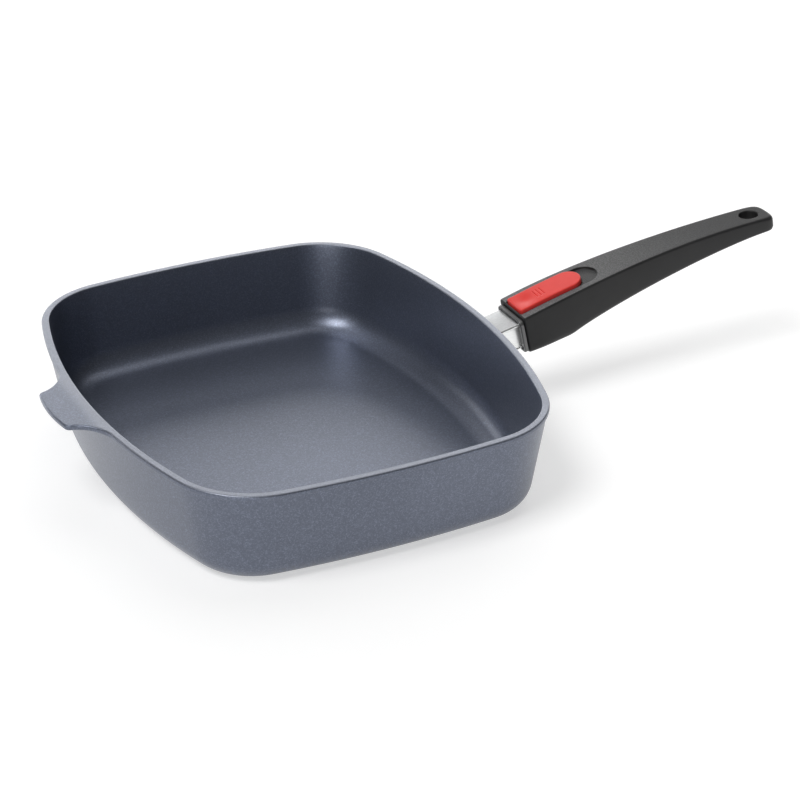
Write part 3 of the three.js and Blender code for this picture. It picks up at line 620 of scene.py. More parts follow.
def black_moulding():
    """Satin black, with a grained top that is paler partly from its grain and partly from painted light;
    painted shade darkens that top towards the tail, where its grain fades, and in the recess behind the
    button.
    """
    finish = Finish("black_moulding", {"Specular IOR Level": 0.34})
    place = finish.place()
    along = finish.along(place, "X")
    # Painted shade: the top is darkened towards the tail, where the grain also fades and the roughness
    # rises.
    tail_shade_and_roughness = finish.between(along, GRAIN_AND_SHADE_FADE[0] * MM, GRAIN_AND_SHADE_FADE[1] * MM)
    shelf = (HANDLE @ Vector((0, 0, RECESS_SHELF * MM))).dot(HANDLE_UP)
    above_shelf = finish.between(finish.up_handle(place), shelf + 0.3 * MM, shelf + 0.8 * MM)
    past_front = finish.between(along, (SHADE_FRONT - 1) * MM, (SHADE_FRONT + 1) * MM)
    past_back = finish.between(along, (SHADE_BACK - 1) * MM, (SHADE_BACK + 1) * MM)
    # Painted shade: the recess floor behind the button is darkened, and its grain weakened.
    recess_shade = (1 - above_shelf) * past_front * (1 - past_back)
    top_side = finish.between(finish.facing_up(), 0.94, 0.985)
    on_top = top_side * (1 - 0.85 * tail_shade_and_roughness) * (1 - 0.7 * recess_shade)
    grain = finish.noise(place, 1100, 3, 0.6)
    cloud = finish.noise(place, 40, 2)
    speck = finish.between(grain, 0.4, 0.62)
    # The top's paler tone is partly its grain and partly painted light on the faces that look up.
    tone = 0.09 * cloud + on_top * (0.54 + 0.5 * speck)
    finish.feed("Base Color", finish.blend(tone, (0.009, 0.009, 0.0095, 1), (0.2, 0.2, 0.203, 1)))
    finish.feed("Roughness", 0.42 + 0.06 * cloud + 0.15 * on_top * grain + 0.18 * top_side * tail_shade_and_roughness)
    finish.feed("Normal", finish.bump(on_top * grain + 0.1 * grain, 0.22, 0.0003))
    return finish


def red_plastic():
    finish = Finish("red_plastic", {"Specular IOR Level": 0.3})
    place = finish.place()
    cloud = finish.noise(place, 90, 2)
    grain = finish.noise(place, 1300, 2)
    finish.feed("Base Color", finish.blend(cloud, (0.74, 0.044, 0.036, 1), (0.83, 0.058, 0.048, 1)))
    finish.feed("Roughness", 0.34 + 0.1 * grain)
    finish.feed("Normal", finish.bump(grain, 0.02, 0.0002))
    return finish


COATING = nonstick_coating()
BARE_CAST = bare_cast()
STEEL = satin_steel()
BEZEL = bezel_metal()
MOULDING = black_moulding()
RED = red_plastic()


# Pan

CORNER_STEPS = 20
SIDE_STEPS = 24
TAB_STEPS = 30
WALL_DRAW = math.tan(math.radians(WALL_TAPER))


def corner_of(inset):
    """Bow centres of the two sides, the corner arc between them and where it meets each."""
    length_bow = LENGTH_SIDE_BOW - inset
    width_bow = WIDTH_SIDE_BOW - inset
    corner = max(CORNER_RADIUS - CORNER_SHRINK * inset, LEAST_CORNER)
    length_centre = PAN_LENGTH / 2 - inset - length_bow
    width_centre = PAN_WIDTH / 2 - inset - width_bow
    reach = length_bow - corner
    rise = width_bow - corner
    span = math.hypot(length_centre, width_centre)
    along = (reach ** 2 - rise ** 2 + span ** 2) / (2 * span)
    aside = math.sqrt(reach ** 2 - along ** 2)
    unit = (-length_centre / span, width_centre / span)
    centre = (length_centre + along * unit[0] - aside * unit[1], along * unit[1] + aside * unit[0])
    first = math.degrees(math.atan2(centre[1], centre[0] - length_centre))
    second = math.degrees(math.atan2(centre[1] - width_centre, centre[0]))
    return length_bow, width_bow, corner, length_centre, width_centre, centre, first, second


TAB_SHARE = math.degrees(math.asin(TAB_MEET / LENGTH_SIDE_BOW)) / corner_of(0)[6]


def quarter(inset):
    """A quarter of the outline, from the middle of a handle side to the middle of a long side."""
    length_bow, width_bow, corner, length_centre, width_centre, centre, first, second = corner_of(inset)
    meet = first * TAB_SHARE
    return [
        *arc((length_centre, 0), length_bow, 0, meet, TAB_STEPS),
        *arc((length_centre, 0), length_bow, meet, first, SIDE_STEPS)[1:],
        *arc(centre, corner, first, second, CORNER_STEPS)[1:],
        *arc((0, width_centre), width_bow, second, 90, SIDE_STEPS)[1:],
    ]


def tab_half():
    """Half of the tab's outline, from the middle of its tip to the rim, on the handle's side."""
    tip = PAN_LENGTH / 2 + TAB_REACH
    meet = quarter(0)[TAB_STEPS]
    lean = meet[1] / math.sqrt(LENGTH_SIDE_BOW ** 2 - meet[1] ** 2)
    tip_end = (tip - TAB_TIP_BOW, TAB_TIP_HALF - TAB_CORNER)
    side = (tip_end[0] - TAB_CORNER_RUN, TAB_TIP_HALF)
    pull = TAB_PULL
    curves = [
        [(tip, 0), (tip, tip_end[1] / 2), tip_end],
        [tip_end, (tip_end[0] - TAB_CORNER_PULL[0], TAB_TIP_HALF - TAB_CORNER_PULL[1]), side],
        [side, (side[0] - pull, side[1] + pull / 4), (meet[0] + lean * pull, meet[1] - pull), meet],
    ]
    path = [(tip, 0)]
    for curve in curves:
        path.extend(bezier(curve, step / 24) for step in range(1, 25))
    return evenly(path, TAB_STEPS)


TAB_EDGE = tab_half()


def tab_inward(index):
    """Unit step into the tab, square to its edge."""
    before = TAB_EDGE[index - 1] if index else (TAB_EDGE[1][0], -TAB_EDGE[1][1])
    after = TAB_EDGE[min(index + 1, TAB_STEPS)]
    run = math.dist(before, after)
    return (-(after[1] - before[1]) / run, (after[0] - before[0]) / run)


def pan_ring(inset, z, out=0.0, tab_inset=0.0, tab_drop=0.0):
    """A ring round the pan, drawn out by a share of the way to the tab's edge on the tab's side."""
    near = quarter(inset)
    far = []
    for index, (x, y) in enumerate(near):
        height = z
        if out and index <= TAB_STEPS:
            reach = smoothstep(0, TAB_BLEND, TAB_EDGE[index][0] - near[index][0])
            depth = inset + tab_inset * reach
            inward = tab_inward(index)
            edge = (TAB_EDGE[index][0] + depth * inward[0], TAB_EDGE[index][1] + depth * inward[1])
            x += (edge[0] - x) * out
            y += (edge[1] - y) * out
            height -= tab_drop * reach
        far.append((-x, y, height))
    near = [(x, y, z) for x, y in near]
    upper = near + far[-2::-1]
    lower = [(x, -y, z) for x, y, z in far[1:]] + [(x, -y, z) for x, y, z in near[-2:0:-1]]
    return upper + lower


def wall_round(wall_inset, level, radius, steps):
    """Round between a level face and a tapered wall whose line meets that level at wall_inset."""
    taper = math.radians(WALL_TAPER)
    middle = wall_inset + radius * (1 - math.sin(taper)) / math.cos(taper)
    return [(middle - x, level + radius + z) for x, z in arc((0, 0), radius, -90, -WALL_TAPER, steps)]


def outer_inset(z):
    return LIP_REACH + (LIP_LOW - z) * WALL_DRAW


def inner_inset(z):
    return RIM_WIDTH + (PAN_HEIGHT - z) * WALL_DRAW


def pan_rings():
    base = wall_round(outer_inset(0), 0, BASE_ROUND, 14)
    floor = wall_round(inner_inset(FLOOR_THICKNESS), FLOOR_THICKNESS, FLOOR_ROUND, 16)
    groove = BASE_GROOVE_INSET
    rings = [
        pan_ring(groove + BASE_GROOVE_GUARD, 0),
        pan_ring(groove + BASE_GROOVE_HALF, 0),
        pan_ring(groove + BASE_GROOVE_BED, BASE_GROOVE_DEPTH),
        pan_ring(groove - BASE_GROOVE_BED, BASE_GROOVE_DEPTH),
        pan_ring(groove - BASE_GROOVE_HALF, 0),
        pan_ring(base[0][0] + FLAT_GUARD, 0),
    ]
    rings += [pan_ring(inset, z) for inset, z in base]
    rings += [pan_ring(outer_inset(z), z) for z in OUTER_WALL_LEVELS]
    # Under the lip, and out along the tab's underside to its softer edge
    rings += [
        pan_ring(outer_inset(LIP_LOW - LIP_FILLET), LIP_LOW - LIP_FILLET_DROP),
        pan_ring(LIP_UNDER_INSET, LIP_LOW, LIP_UNDER_SHARE, 0, TAB_DROP),
    ]
    for inset, rise, soft, drop in LIP_EDGE:
        rings.append(pan_ring(inset, LIP_LOW + rise, 1, TAB_UNDER_ROUND * soft, TAB_DROP * drop))
    edge = RIM_OUTER_ROUND
    rings += [pan_ring(edge - x, PAN_HEIGHT - edge + z, 1) for x, z in arc((0, 0), edge, 0, 90, 7)]
    rings.append(pan_ring(edge + RIM_GUARD, PAN_HEIGHT, 1))
    inner = RIM_WIDTH - RIM_ROUND
    top = PAN_HEIGHT - RIM_ROUND
    rings.append(pan_ring(inner - RIM_GUARD, PAN_HEIGHT))
    rings += [pan_ring(inner + x, top + z) for x, z in arc((0, 0), RIM_ROUND, 90, WALL_TAPER, 5)]
    rings += [pan_ring(inner_inset(z), z) for z in INNER_WALL_LEVELS]
    rings += [pan_ring(inset, z) for inset, z in reversed(floor)]
    rings.append(pan_ring(floor[0][0] + FLAT_GUARD, FLOOR_THICKNESS))
    return rings


def handle_boss():
    """Pad under the stub, which grows out of the wall in a fillet."""
    start = Vector(HANDLE_START)

    def wall_x(y, z, depth):
        """Where a line along the handle meets a surface at a depth inside the outer wall."""
        foot = start + HANDLE_UP * z
        bow = y * y / (2 * LENGTH_SIDE_BOW)
        level = PAN_LENGTH / 2 - depth - bow - outer_inset(foot.z)
        return (level - foot.x) / (HANDLE_ALONG.x - HANDLE_ALONG.z * WALL_DRAW)

    def ring(grow, share):
        """The grown section, at a share of the way from the wall to the face."""
        section = rounded_rect(
            BOSS_HALF_WIDTH + grow, -BOSS_HALF_HEIGHT - grow,
            BOSS_HALF_HEIGHT + grow / 3, BOSS_CORNER + grow)
        points = []
        for y, z in section:
            wall = wall_x(y, z, HAIR)
            points.append((wall + (BOSS_FACE - wall) * share, y, z))
        return points

    rings = [[(wall_x(y, z, BOSS_ROOT), y, z) for _, y, z in ring(BOSS_FILLET, 0)]]
    for across, out in arc((0, 0), 1, 0, 90, 6):
        rings.append(ring(BOSS_FILLET * (1 - out), BOSS_FILLET_SHARE * (1 - across)))
    for x, shrink in ((BOSS_FACE - BOSS_EDGE, 0), (BOSS_FACE, BOSS_EDGE)):
        section = rounded_rect(
            BOSS_HALF_WIDTH - shrink, -BOSS_HALF_HEIGHT + shrink,
            BOSS_HALF_HEIGHT - shrink, BOSS_CORNER - shrink)
        rings.append(at_x(section, x))
    return skin("boss", rings)


pan = skin("pan", pan_rings(), PAN)
joined(pan, handle_boss())
for side in (-SCREW_SIDE, SCREW_SIDE):
    cut(pan, rod_x(SCREW_RADIUS + SEAT_GAP, SCREW_END - SEAT_GAP, STUB_ROOT, side, SCREW_Z))
finished(pan, "coated_pan", "pan", "nonstick_coating", COATING, "pan_body")


# Stub and its screws

def stub_bar():
    """Grooved bar: a flange with a round edge, a web and a small foot."""
    round_edge = STUB_FLANGE / 2
    low_edge = STUB_TOP - STUB_FLANGE
    foot = STUB_FOOT / 2
    inner = STUB_INNER_ROUND
    right = [
        (0, -STUB_TOP),
        (STUB_WEB - STUB_FOOT_SETBACK, -STUB_TOP),
        *arc((STUB_WEB, -STUB_TOP + foot), foot, -80, 80, 6),
        (STUB_WEB, -STUB_TOP + STUB_FOOT + inner),
        (STUB_WEB, 0),
        *arc((STUB_WEB + inner, low_edge - inner), inner, 180, 90, 3),
        *arc((STUB_HALF - round_edge, STUB_TOP - round_edge), round_edge, -80, 90, 10),
    ]
    left = [(-y, z) for y, z in reversed(right[1:])]
    return prism([*right, (0, STUB_TOP), *left], STUB_ROOT, SHOULDER)


def tongue():
    rings = []
    lead_in = [
        (SHOULDER - 2, 0),
        (TONGUE_TIP - TONGUE_LEAD, 0),
        (TONGUE_TIP - TONGUE_LEAD * 0.3, TONGUE_LEAD * 0.35),
        (TONGUE_TIP, TONGUE_LEAD),
    ]
    for x, lead in lead_in:
        section = rounded_rect(
            TONGUE_HALF - lead, -STUB_TOP + lead + HAIR, TONGUE_TOP - lead, TONGUE_CORNER - lead / 2)
        rings.append(at_x(section, x))
    return skin("tongue", rings)


def handle_stub():
    stub = joined(stub_bar(), tongue())
    notch = (BOLT_X - BOLT_ROOM, BOLT_X + BOLT_ROOM)
    cut(stub, block(notch, (-BOLT_SIDE, BOLT_SIDE), (BOLT_NOTCH_LOW, STUB_TOP)))
    for side in (-SCREW_SIDE, SCREW_SIDE):
        cut(stub,
            rod_x(SCREW_RADIUS + SEAT_GAP, STUB_ROOT - 1, SCREW_SEAT + 1, side, SCREW_Z),
            rod_x(HEAD_RADIUS + SEAT_GAP, SCREW_SEAT, TONGUE_TIP + 1, side, SCREW_Z))
    return stub


def turned(name, profile, y, z, sides=40):
    """A profile of radius and x, turned about a line along the handle."""
    rings = []
    for radius, x in profile:
        rings.append(at_x(circle((y, z), radius, sides), x))
    return skin(name, rings)


def cap_screw():
    under = SCREW_SEAT + WASHER + 2 * SEAT_GAP
    top = under + HEAD_HEIGHT
    screw = turned("cap_screw", [
        (SCREW_RADIUS - SCREW_POINT, SCREW_END),
        (SCREW_RADIUS, SCREW_END + SCREW_POINT),
        (SCREW_RADIUS, under - SCREW_NECK),
        (SCREW_RADIUS + SCREW_NECK, under),
        (HEAD_RADIUS - SMALL_EDGE, under),
        (HEAD_RADIUS, under + SMALL_EDGE),
        (HEAD_RADIUS, top - HEAD_EDGE),
        (HEAD_RADIUS - HEAD_EDGE * 0.3, top - HEAD_EDGE * 0.3),
        (HEAD_RADIUS - HEAD_EDGE, top),
    ], -SCREW_SIDE, SCREW_Z)
    return cut(screw, rod_x(HEX_CORNER, top - HEAD_HEIGHT / 2, top + 1, -SCREW_SIDE, SCREW_Z, 6))


def washer():
    low = SCREW_SEAT + SEAT_GAP
    high = low + WASHER
    ring = turned("washer", [
        (HEAD_RADIUS - SMALL_EDGE, low), (HEAD_RADIUS, low + SMALL_EDGE),
        (HEAD_RADIUS, high - SMALL_EDGE), (HEAD_RADIUS - SMALL_EDGE, high),
    ], -SCREW_SIDE, SCREW_Z)
    return cut(ring, rod_x(SCREW_RADIUS + SEAT_GAP, low - 1, high + 1, -SCREW_SIDE, SCREW_Z))


def twin(piece):
    """A copy of a piece, with its own mesh, at the other screw's place."""
    pick(piece)
    bpy.ops.object.duplicate()
    copy = bpy.context.object
    copy.data.transform(Matrix.Translation((0, 2 * SCREW_SIDE * MM, 0)))
    return copy


finished(handle_stub(), "stub", "pan", "bare_cast", BARE_CAST, "handle_stub")
right_screw = cap_screw()
right_washer = washer()
left_screw = twin(right_screw)
left_washer = twin(right_washer)
finished(right_screw, "cap_screw_right", "pan", "steel", STEEL, "stub_screw_right")
finished(left_screw, "cap_screw_left", "pan", "steel", STEEL, "stub_screw_left")
finished(right_washer, "washer_right", "pan", "steel", STEEL, "stub_washer_right")
finished(left_washer, "washer_left", "pan", "steel", STEEL, "stub_washer_left")


# Socket liner and its screw

def socket_liner():
    """One skin from the end of the bore out to the bezel and back along the outside."""
    def ring(x, half, low, high, corner):
        return at_x(rounded_rect(half, low, high, corner), x)

    def bore(x):
        return ring(x, SLEEVE_BORE_HALF, -COLLAR_BORE_TALL + HAIR, SLEEVE_BORE_TOP, LINER_WALL / 2)

    def mouth(x, grow):
        tall = COLLAR_BORE_TALL + grow
        return ring(x, COLLAR_BORE_HALF + grow, -tall, tall, LINER_WALL + grow)

    def bezel(x, shrink):
        tall = BEZEL_TALL - shrink
        return ring(x, BEZEL_HALF - shrink, -tall, tall, BEZEL_CORNER - shrink / 2)

    def collar(x):
        return ring(x, COLLAR_HALF, -COLLAR_TALL, COLLAR_TALL, 2 * LINER_WALL)

    def sleeve(x):
        return ring(x, SLEEVE_HALF, -COLLAR_TALL + HAIR, SLEEVE_TOP, LINER_WALL)

    def end_block(x, shrink):
        inner = HAIR + shrink
        return ring(x, SLEEVE_HALF - inner, BLOCK_LOW + shrink, SLEEVE_TOP - inner, LINER_WALL)

    step = SHOULDER + SEAT_GAP
    rings = [
        bore(SOCKET_END), bore(step), mouth(step, 0),
        mouth(MOUTH_ROUND, 0), mouth(MOUTH_EASE, MOUTH_EASE), mouth(0, MOUTH_ROUND),
    ]
    for x, y in arc((0, 0), BEZEL_ROUND, 180, 90, 5):
        rings.append(bezel(x + BEZEL_ROUND, BEZEL_ROUND - y))
    rings += [
        bezel(BEZEL_DEPTH - BEZEL_BACK_EDGE, 0), bezel(BEZEL_DEPTH, BEZEL_BACK_EDGE),
        collar(BEZEL_DEPTH), collar(COLLAR_BACK), sleeve(COLLAR_BACK), sleeve(SLEEVE_BACK),
        end_block(SLEEVE_BACK, 0),
        end_block(LINER_BACK - LINER_EDGE, 0), end_block(LINER_BACK, LINER_EDGE),
    ]
    liner = skin("liner", rings)
    rib_half = BOLT_SIDE - SEAT_GAP
    for edge in (BOLT_X - BOLT_ROOM - RIB_WIDTH, BOLT_X + BOLT_ROOM):
        joined(liner, block(
            (edge, edge + RIB_WIDTH), (-rib_half, rib_half), (SLEEVE_TOP - LINER_WALL / 2, RIB_TOP)))
    for side in (-1, 1):
        key = sorted((side * KEY_INSIDE, side * (COLLAR_BORE_HALF + LINER_WALL / 2)))
        joined(liner, block((KEY_FRONT, SHOULDER + LINER_WALL / 2), key, (KEY_LOW, KEY_TOP)))
    window = (BOLT_X - BOLT_ROOM, BOLT_X + BOLT_ROOM)
    return cut(
        liner,
        block(window, (-BOLT_SIDE, BOLT_SIDE), (TONGUE_TOP, STUB_TOP)),
        rod_z(SCREW_RADIUS + SEAT_GAP, BLOCK_LOW - 1, LINER_SCREW_TOP + SEAT_GAP, LINER_SCREW_X))


finished(socket_liner(), "liner", "handle", "bezel_metal", BEZEL, "socket_liner")


# Handle shell

def top_at(x):
    """Height of the handle's bowed top."""
    return TOP_CREST - (x - TOP_CREST_X) ** 2 / (2 * TOP_BOW)


def grip_curve(front, *controls):
    """Control points, each at a share of the way from the front to the tail."""
    return [(front + (SHELL_TAIL - front) * share, out) for share, out in controls]


WIDTH_CURVE = grip_curve(
    SHELL_FRONT, (0, SHELL_FRONT_HALF), (1 / 4, SHELL_FRONT_HALF + 1),
    (1 / 2, TAIL_HALF - 0.4), (1, TAIL_HALF))
UNDER_CURVE = grip_curve(
    KNEE_X, (0, UNDER_KNEE), (0.15, 0.45 * UNDER_KNEE), (0.85, TAIL_UNDER / 5), (1, TAIL_UNDER))
TAIL_CENTRE = SHELL_TAIL - TAIL_END


def sharp_under_at(x):
    if x > KNEE_X:
        return bezier_height(UNDER_CURVE, x)
    return UNDER_FRONT + (UNDER_KNEE - UNDER_FRONT) * (x - SHELL_FRONT) / (KNEE_X - SHELL_FRONT)


def under_at(x):
    """The underside, with its knee eased."""
    steps = [KNEE_SOFT * k / 4 for k in range(-4, 5)]
    return sum(sharp_under_at(min(x + step, SHELL_TAIL)) for step in steps) / len(steps)


def plan_half(x):
    """Half width, which closes at the tail in a squarish curve."""
    closing = max(x - TAIL_CENTRE, 0) / TAIL_END
    return bezier_height(WIDTH_CURVE, x) * (1 - closing ** TAIL_SQUARENESS) ** (1 / TAIL_SQUARENESS)


def tail_inside(x, y):
    """Distance from a point of the tail to its outline, seen from above."""
    wide = bezier_height(WIDTH_CURVE, x)
    along = (x - TAIL_CENTRE) / TAIL_END
    aside = y / wide
    reach = (along ** TAIL_SQUARENESS + aside ** TAIL_SQUARENESS) ** (1 / TAIL_SQUARENESS)
    run = math.hypot(along ** (TAIL_SQUARENESS - 1) / TAIL_END, aside ** (TAIL_SQUARENESS - 1) / wide)
    return (1 - reach) * reach ** (TAIL_SQUARENESS - 1) / run


def under_rise(distance, radius, slope):
    """Height above the underside of a round edge that starts in line with a sloped side."""
    lead = slope * radius
    spread = radius - 2 * lead
    share = (math.sqrt(lead ** 2 + max(distance, 0) * spread) - lead) / spread
    return radius * max(1 - share, 0) ** 2


def shell_section(x):
    """Flat top with a round edge, sides that draw in downwards and a round underside."""
    ease = rounded(x - SHELL_FRONT, FRONT_ROUND)
    half = plan_half(x) - ease
    top = top_at(x) - ease
    low = under_at(x) + ease
    tall = top - low
    lean = min(SIDE_LEAN * tall, half / 4) * smoothstep(COLLAR_BACK, KNEE_X, x)
    belly = half - lean
    under_round = UNDER_ROUND * tall
    grip_edge = SHELL_EDGE + (GRIP_EDGE - SHELL_EDGE) * smoothstep(KNEE_X, TAIL_CENTRE, x)
    tail_share = smoothstep(TAIL_CENTRE - TAIL_EDGE_RUN, SHELL_TAIL, x)
    round_edge = grip_edge + (TAIL_EDGE - GRIP_EDGE) * tail_share
    side_top = top - round_edge
    side_low = low + under_round
    slope = 2 * lean / (side_top - side_low)

    def inside(y):
        if x > TAIL_CENTRE:
            return tail_inside(x, y)
        return half - y

    edge = min(round_edge, half * 0.8)
    flat = half - edge
    crown = [flat * k / 7 for k in range(7)] + [y for y, _ in arc((flat, 0), edge, 90, 0, 8)]
    right = [(y, top - rounded(inside(y), round_edge)) for y in crown]
    for k in range(1, 14):
        share = k / 14
        right.append((half - lean * share ** 2, side_top + (side_low - side_top) * share))
    bend = min(under_round, belly * 0.8)
    keel = [y for y, _ in arc((belly - bend, 0), bend, 0, 90, 10)]
    keel += [(belly - bend) * (1 - k / 4) for k in range(1, 5)]
    right += [(y, low + under_rise(inside(y) - lean, under_round, slope)) for y in keel]
    left = [(-y, z) for y, z in reversed(right[1:-1])]
    return at_x([*right, *left], x)


def shell_stations():
    stations = [SHELL_FRONT + FRONT_ROUND * (1 - math.cos(math.radians(15 * k))) for k in range(7)]
    span = TAIL_CENTRE - stations[-1]
    count = 84
    stations += [stations[-1] + span * k / count for k in range(1, count + 1)]
    stations += [TAIL_CENTRE + TAIL_END * math.sin(math.radians(90 * k / 28)) for k in range(1, 28)]
    return [*stations, SHELL_TAIL - LAST_SLICE]


def button_plan(front, back, half, corner, steps=16):
    """A straight front with slim corners, straight sides and a round back."""
    sides = [back - half - (back - half - front - corner) * k / 12 for k in range(1, 12)]
    upper = [
        *arc((back - half, 0), half, 0, 90, steps),
        *[(x, half) for x in sides],
        *arc((front + corner, half - corner), corner, 90, 180, 5),
    ]
    return [*upper, (front, 0), *[(x, -y) for x, y in reversed(upper[1:])]]


def recess_cutter():
    """Button recess down to its shelf, with a fillet there and a round lip at the handle's top."""
    def ring(grow, above_top):
        plan = button_plan(
            RECESS_FRONT - grow, RECESS_BACK + grow, RECESS_HALF + grow, max(BUTTON_CORNER + grow, 0.2))
        return [(x, y, top_at(x) + above_top) for x, y in plan]

    depth = RECESS_SHELF - TOP_CREST
    rings = [ring(-RECESS_FILLET - 1, depth)]
    for x, z in arc((RECESS_FILLET, RECESS_FILLET), RECESS_FILLET, 270, 180, 5):
        rings.append(ring(-x, depth + z))
    lip = RECESS_LIP
    rings += [ring(lip - y, z - lip) for y, z in arc((0, 0), lip, 0, 84, 5)]
    rings += [ring(lip + OVERCUT, OVERCUT_RISE), ring(lip + OVERCUT, 3)]
    return skin("recess", rings)


def deep_recess_cutter():
    """Room below the shelf for the button's skirt."""
    plan = button_plan(
        RECESS_FRONT + SEAT_GAP, BUTTON_BACK + SEAT_GAP, BUTTON_HALF + SEAT_GAP, BUTTON_CORNER)
    return skin("deep_recess", [at_z(plan, RECESS_FLOOR), at_z(plan, RECESS_SHELF + 1)])


def hang_hole_cutter():
    """Oval hole square to the tail's top, flared softly at both faces."""
    slope = math.atan((HANG_HOLE_X - TOP_CREST_X) / TOP_BOW)
    across = Vector((math.cos(slope), 0, -math.sin(slope)))
    down = Vector((-math.sin(slope), 0, -math.cos(slope)))
    mouth = Vector((HANG_HOLE_X, 0, top_at(HANG_HOLE_X)))
    deep = top_at(HANG_HOLE_X) - under_at(HANG_HOLE_X)

    def ring(grow, depth):
        radius = HANG_HOLE_RADIUS + grow
        oval = arc((HANG_HOLE_STRAIGHT, 0), radius, -90, 90, 24)
        oval += arc((-HANG_HOLE_STRAIGHT, 0), radius, 90, 270, 24)
        return [tuple(mouth + across * u + Vector((0, v, 0)) + down * depth) for u, v in oval]

    flare = HANG_HOLE_FLARE
    wide = flare + OVERCUT
    rings = [ring(wide, -2), ring(wide, -OVERCUT_RISE)]
    rings += [ring(flare - y, flare - z) for y, z in arc((0, 0), flare, 84, 0, 6)]
    rings += [ring(flare - y, deep - flare + z) for y, z in arc((0, 0), flare, 0, 84, 6)]
    rings += [ring(wide, deep + OVERCUT_RISE), ring(wide, deep + 3)]
    return skin("hang_hole", rings)


def handle_shell():
    shell = skin("shell", [shell_section(x) for x in shell_stations()])
    gap = SEAT_GAP
    collar_pocket = rounded_rect(COLLAR_HALF + gap, -COLLAR_TALL - gap, COLLAR_TALL + gap, 2 * LINER_WALL)
    sleeve_pocket = rounded_rect(SLEEVE_HALF + gap, -COLLAR_TALL - gap, CARRIER_LOW, LINER_WALL)
    block_pocket = rounded_rect(SLEEVE_HALF + gap - HAIR, BLOCK_LOW - gap, CARRIER_LOW - HAIR, LINER_WALL)
    slot_half = CHEEK_OUTSIDE + SLOT_GAP
    return cut(
        shell,
        recess_cutter(),
        deep_recess_cutter(),
        hang_hole_cutter(),
        prism(collar_pocket, 0, COLLAR_BACK + gap),
        prism(sleeve_pocket, SHELL_FRONT - 1, SLEEVE_BACK + gap),
        prism(block_pocket, SOCKET_END, LINER_BACK + gap),
        block((SHELL_FRONT + 1, CARRIER_ROOM_BACK), (-EAR_HALF, EAR_HALF), (CARRIER_FLOOR, EAR_TOP)),
        block((CHEEK_BACK, CARRIER_ROOM_BACK - HAIR), (-TAIL_TAB_HALF, TAIL_TAB_HALF),
              (CARRIER_FLOOR + HAIR, SPRING_Z + SPRING_BORE)),
        block((SLOT_FRONT, SLOT_BACK), (-slot_half, slot_half), (CARRIER_LOW, TOP_CREST)),
        rod_x(SPRING_BORE, CARRIER_ROOM_BACK - 0.5, SPRING_BACK + gap, 0, SPRING_Z),
        rod_x(GUIDE_BORE, SPRING_BACK, GUIDE_BACK, 0, SPRING_Z),
        rod_z(SCREW_RADIUS + gap, UNDER_KNEE, 0, LINER_SCREW_X),
        rod_z(HEAD_RADIUS + gap, 2 * UNDER_KNEE, LINER_SCREW_SEAT, LINER_SCREW_X))


finished(handle_shell(), "shell", "handle", "black_moulding", MOULDING, "handle_shell")


def liner_screw():
    low = under_at(LINER_SCREW_X) + SEAT_GAP
    seat = LINER_SCREW_SEAT - SEAT_GAP

    def ring(radius, z):
        return at_z(circle((LINER_SCREW_X, 0), radius, 40), z)

    screw = skin("screw", [
        ring(HEAD_RADIUS - LINER_SCREW_EDGE, low),
        ring(HEAD_RADIUS - LINER_SCREW_EASE[0], low + LINER_SCREW_EASE[1]),
        ring(HEAD_RADIUS, low + LINER_SCREW_EDGE),
        ring(HEAD_RADIUS, seat),
        ring(SCREW_RADIUS, seat),
        ring(SCREW_RADIUS, LINER_SCREW_TOP - LINER_SCREW_POINT),
        ring(SCREW_RADIUS - LINER_SCREW_POINT, LINER_SCREW_TOP),
    ])
    return cut(screw, rod_z(HEX_CORNER, low - 1, (low + seat) / 2, LINER_SCREW_X, 6))


finished(liner_screw(), "underside_screw", "handle", "steel", STEEL, "liner_screw")


# Red button

def button_half(x):
    behind = x - (BUTTON_BACK - BUTTON_HALF)
    if behind > 0:
        return math.sqrt(max(BUTTON_HALF ** 2 - behind ** 2, 0))
    return BUTTON_HALF - rounded(x - BUTTON_FRONT, BUTTON_CORNER)


def button_height(x, y):
    """Height of the button's top: crowned, with round edges, a thumb dish and grip grooves."""
    behind = x - (BUTTON_BACK - BUTTON_HALF)
    if behind > 0:
        inside = BUTTON_HALF - math.hypot(behind, y)
    else:
        inside = min(button_half(x) - abs(y), x - BUTTON_FRONT)
    height = top_at(x) + BUTTON_PROUD - rounded(inside, BUTTON_ROUND)
    height -= DISH_DEPTH * math.exp(-((x - DISH_X) / DISH_RUN) ** 2 - (y / DISH_WIDE) ** 2)
    ends = 1 - smoothstep(GRIP_GROOVE_REACH - 1, GRIP_GROOVE_REACH, abs(y))
    for groove in GRIP_GROOVES:
        across = 1 - smoothstep(GRIP_GROOVE_BED, 1, abs(x - groove) / GRIP_GROOVE_HALF)
        height -= GRIP_GROOVE_DEPTH * across * ends
    return height


def button_section(x):
    half = button_half(x)
    edge = min(BUTTON_ROUND, half * 0.7)
    flat = half - edge
    right = [(flat * k / 14, 0) for k in range(14)] + arc((flat, 0), edge, 90, 0, 6)
    top = [(y, button_height(x, y)) for y, _ in right]
    points = [
        *top, (half, BUTTON_LOW + BUTTON_LOW_EDGE), (max(half - BUTTON_LOW_EDGE, 0), BUTTON_LOW),
        (0, BUTTON_LOW)]
    left = [(-y, z) for y, z in reversed(points[1:-1])]
    return at_x([*points, *left], x)


def button_stations():
    ends = [BUTTON_ROUND * (1 - math.cos(math.radians(15 * k))) for k in range(7)]
    stations = [BUTTON_FRONT + end for end in ends]
    front = stations[-1]
    centre = BUTTON_BACK - BUTTON_HALF
    first_groove = GRIP_GROOVES[0] - 1
    last_groove = GRIP_GROOVES[-1] + 1
    stations += [front + (first_groove - front) * k / 21 for k in range(1, 22)]
    stations += [first_groove + (last_groove - first_groove) * k / 36 for k in range(1, 37)]
    stations += [last_groove + (centre - last_groove) * k / 12 for k in range(1, 13)]
    stations += [centre + BUTTON_HALF * math.sin(math.radians(90 * k / 26)) for k in range(1, 26)]
    return [*stations, BUTTON_BACK - LAST_SLICE]


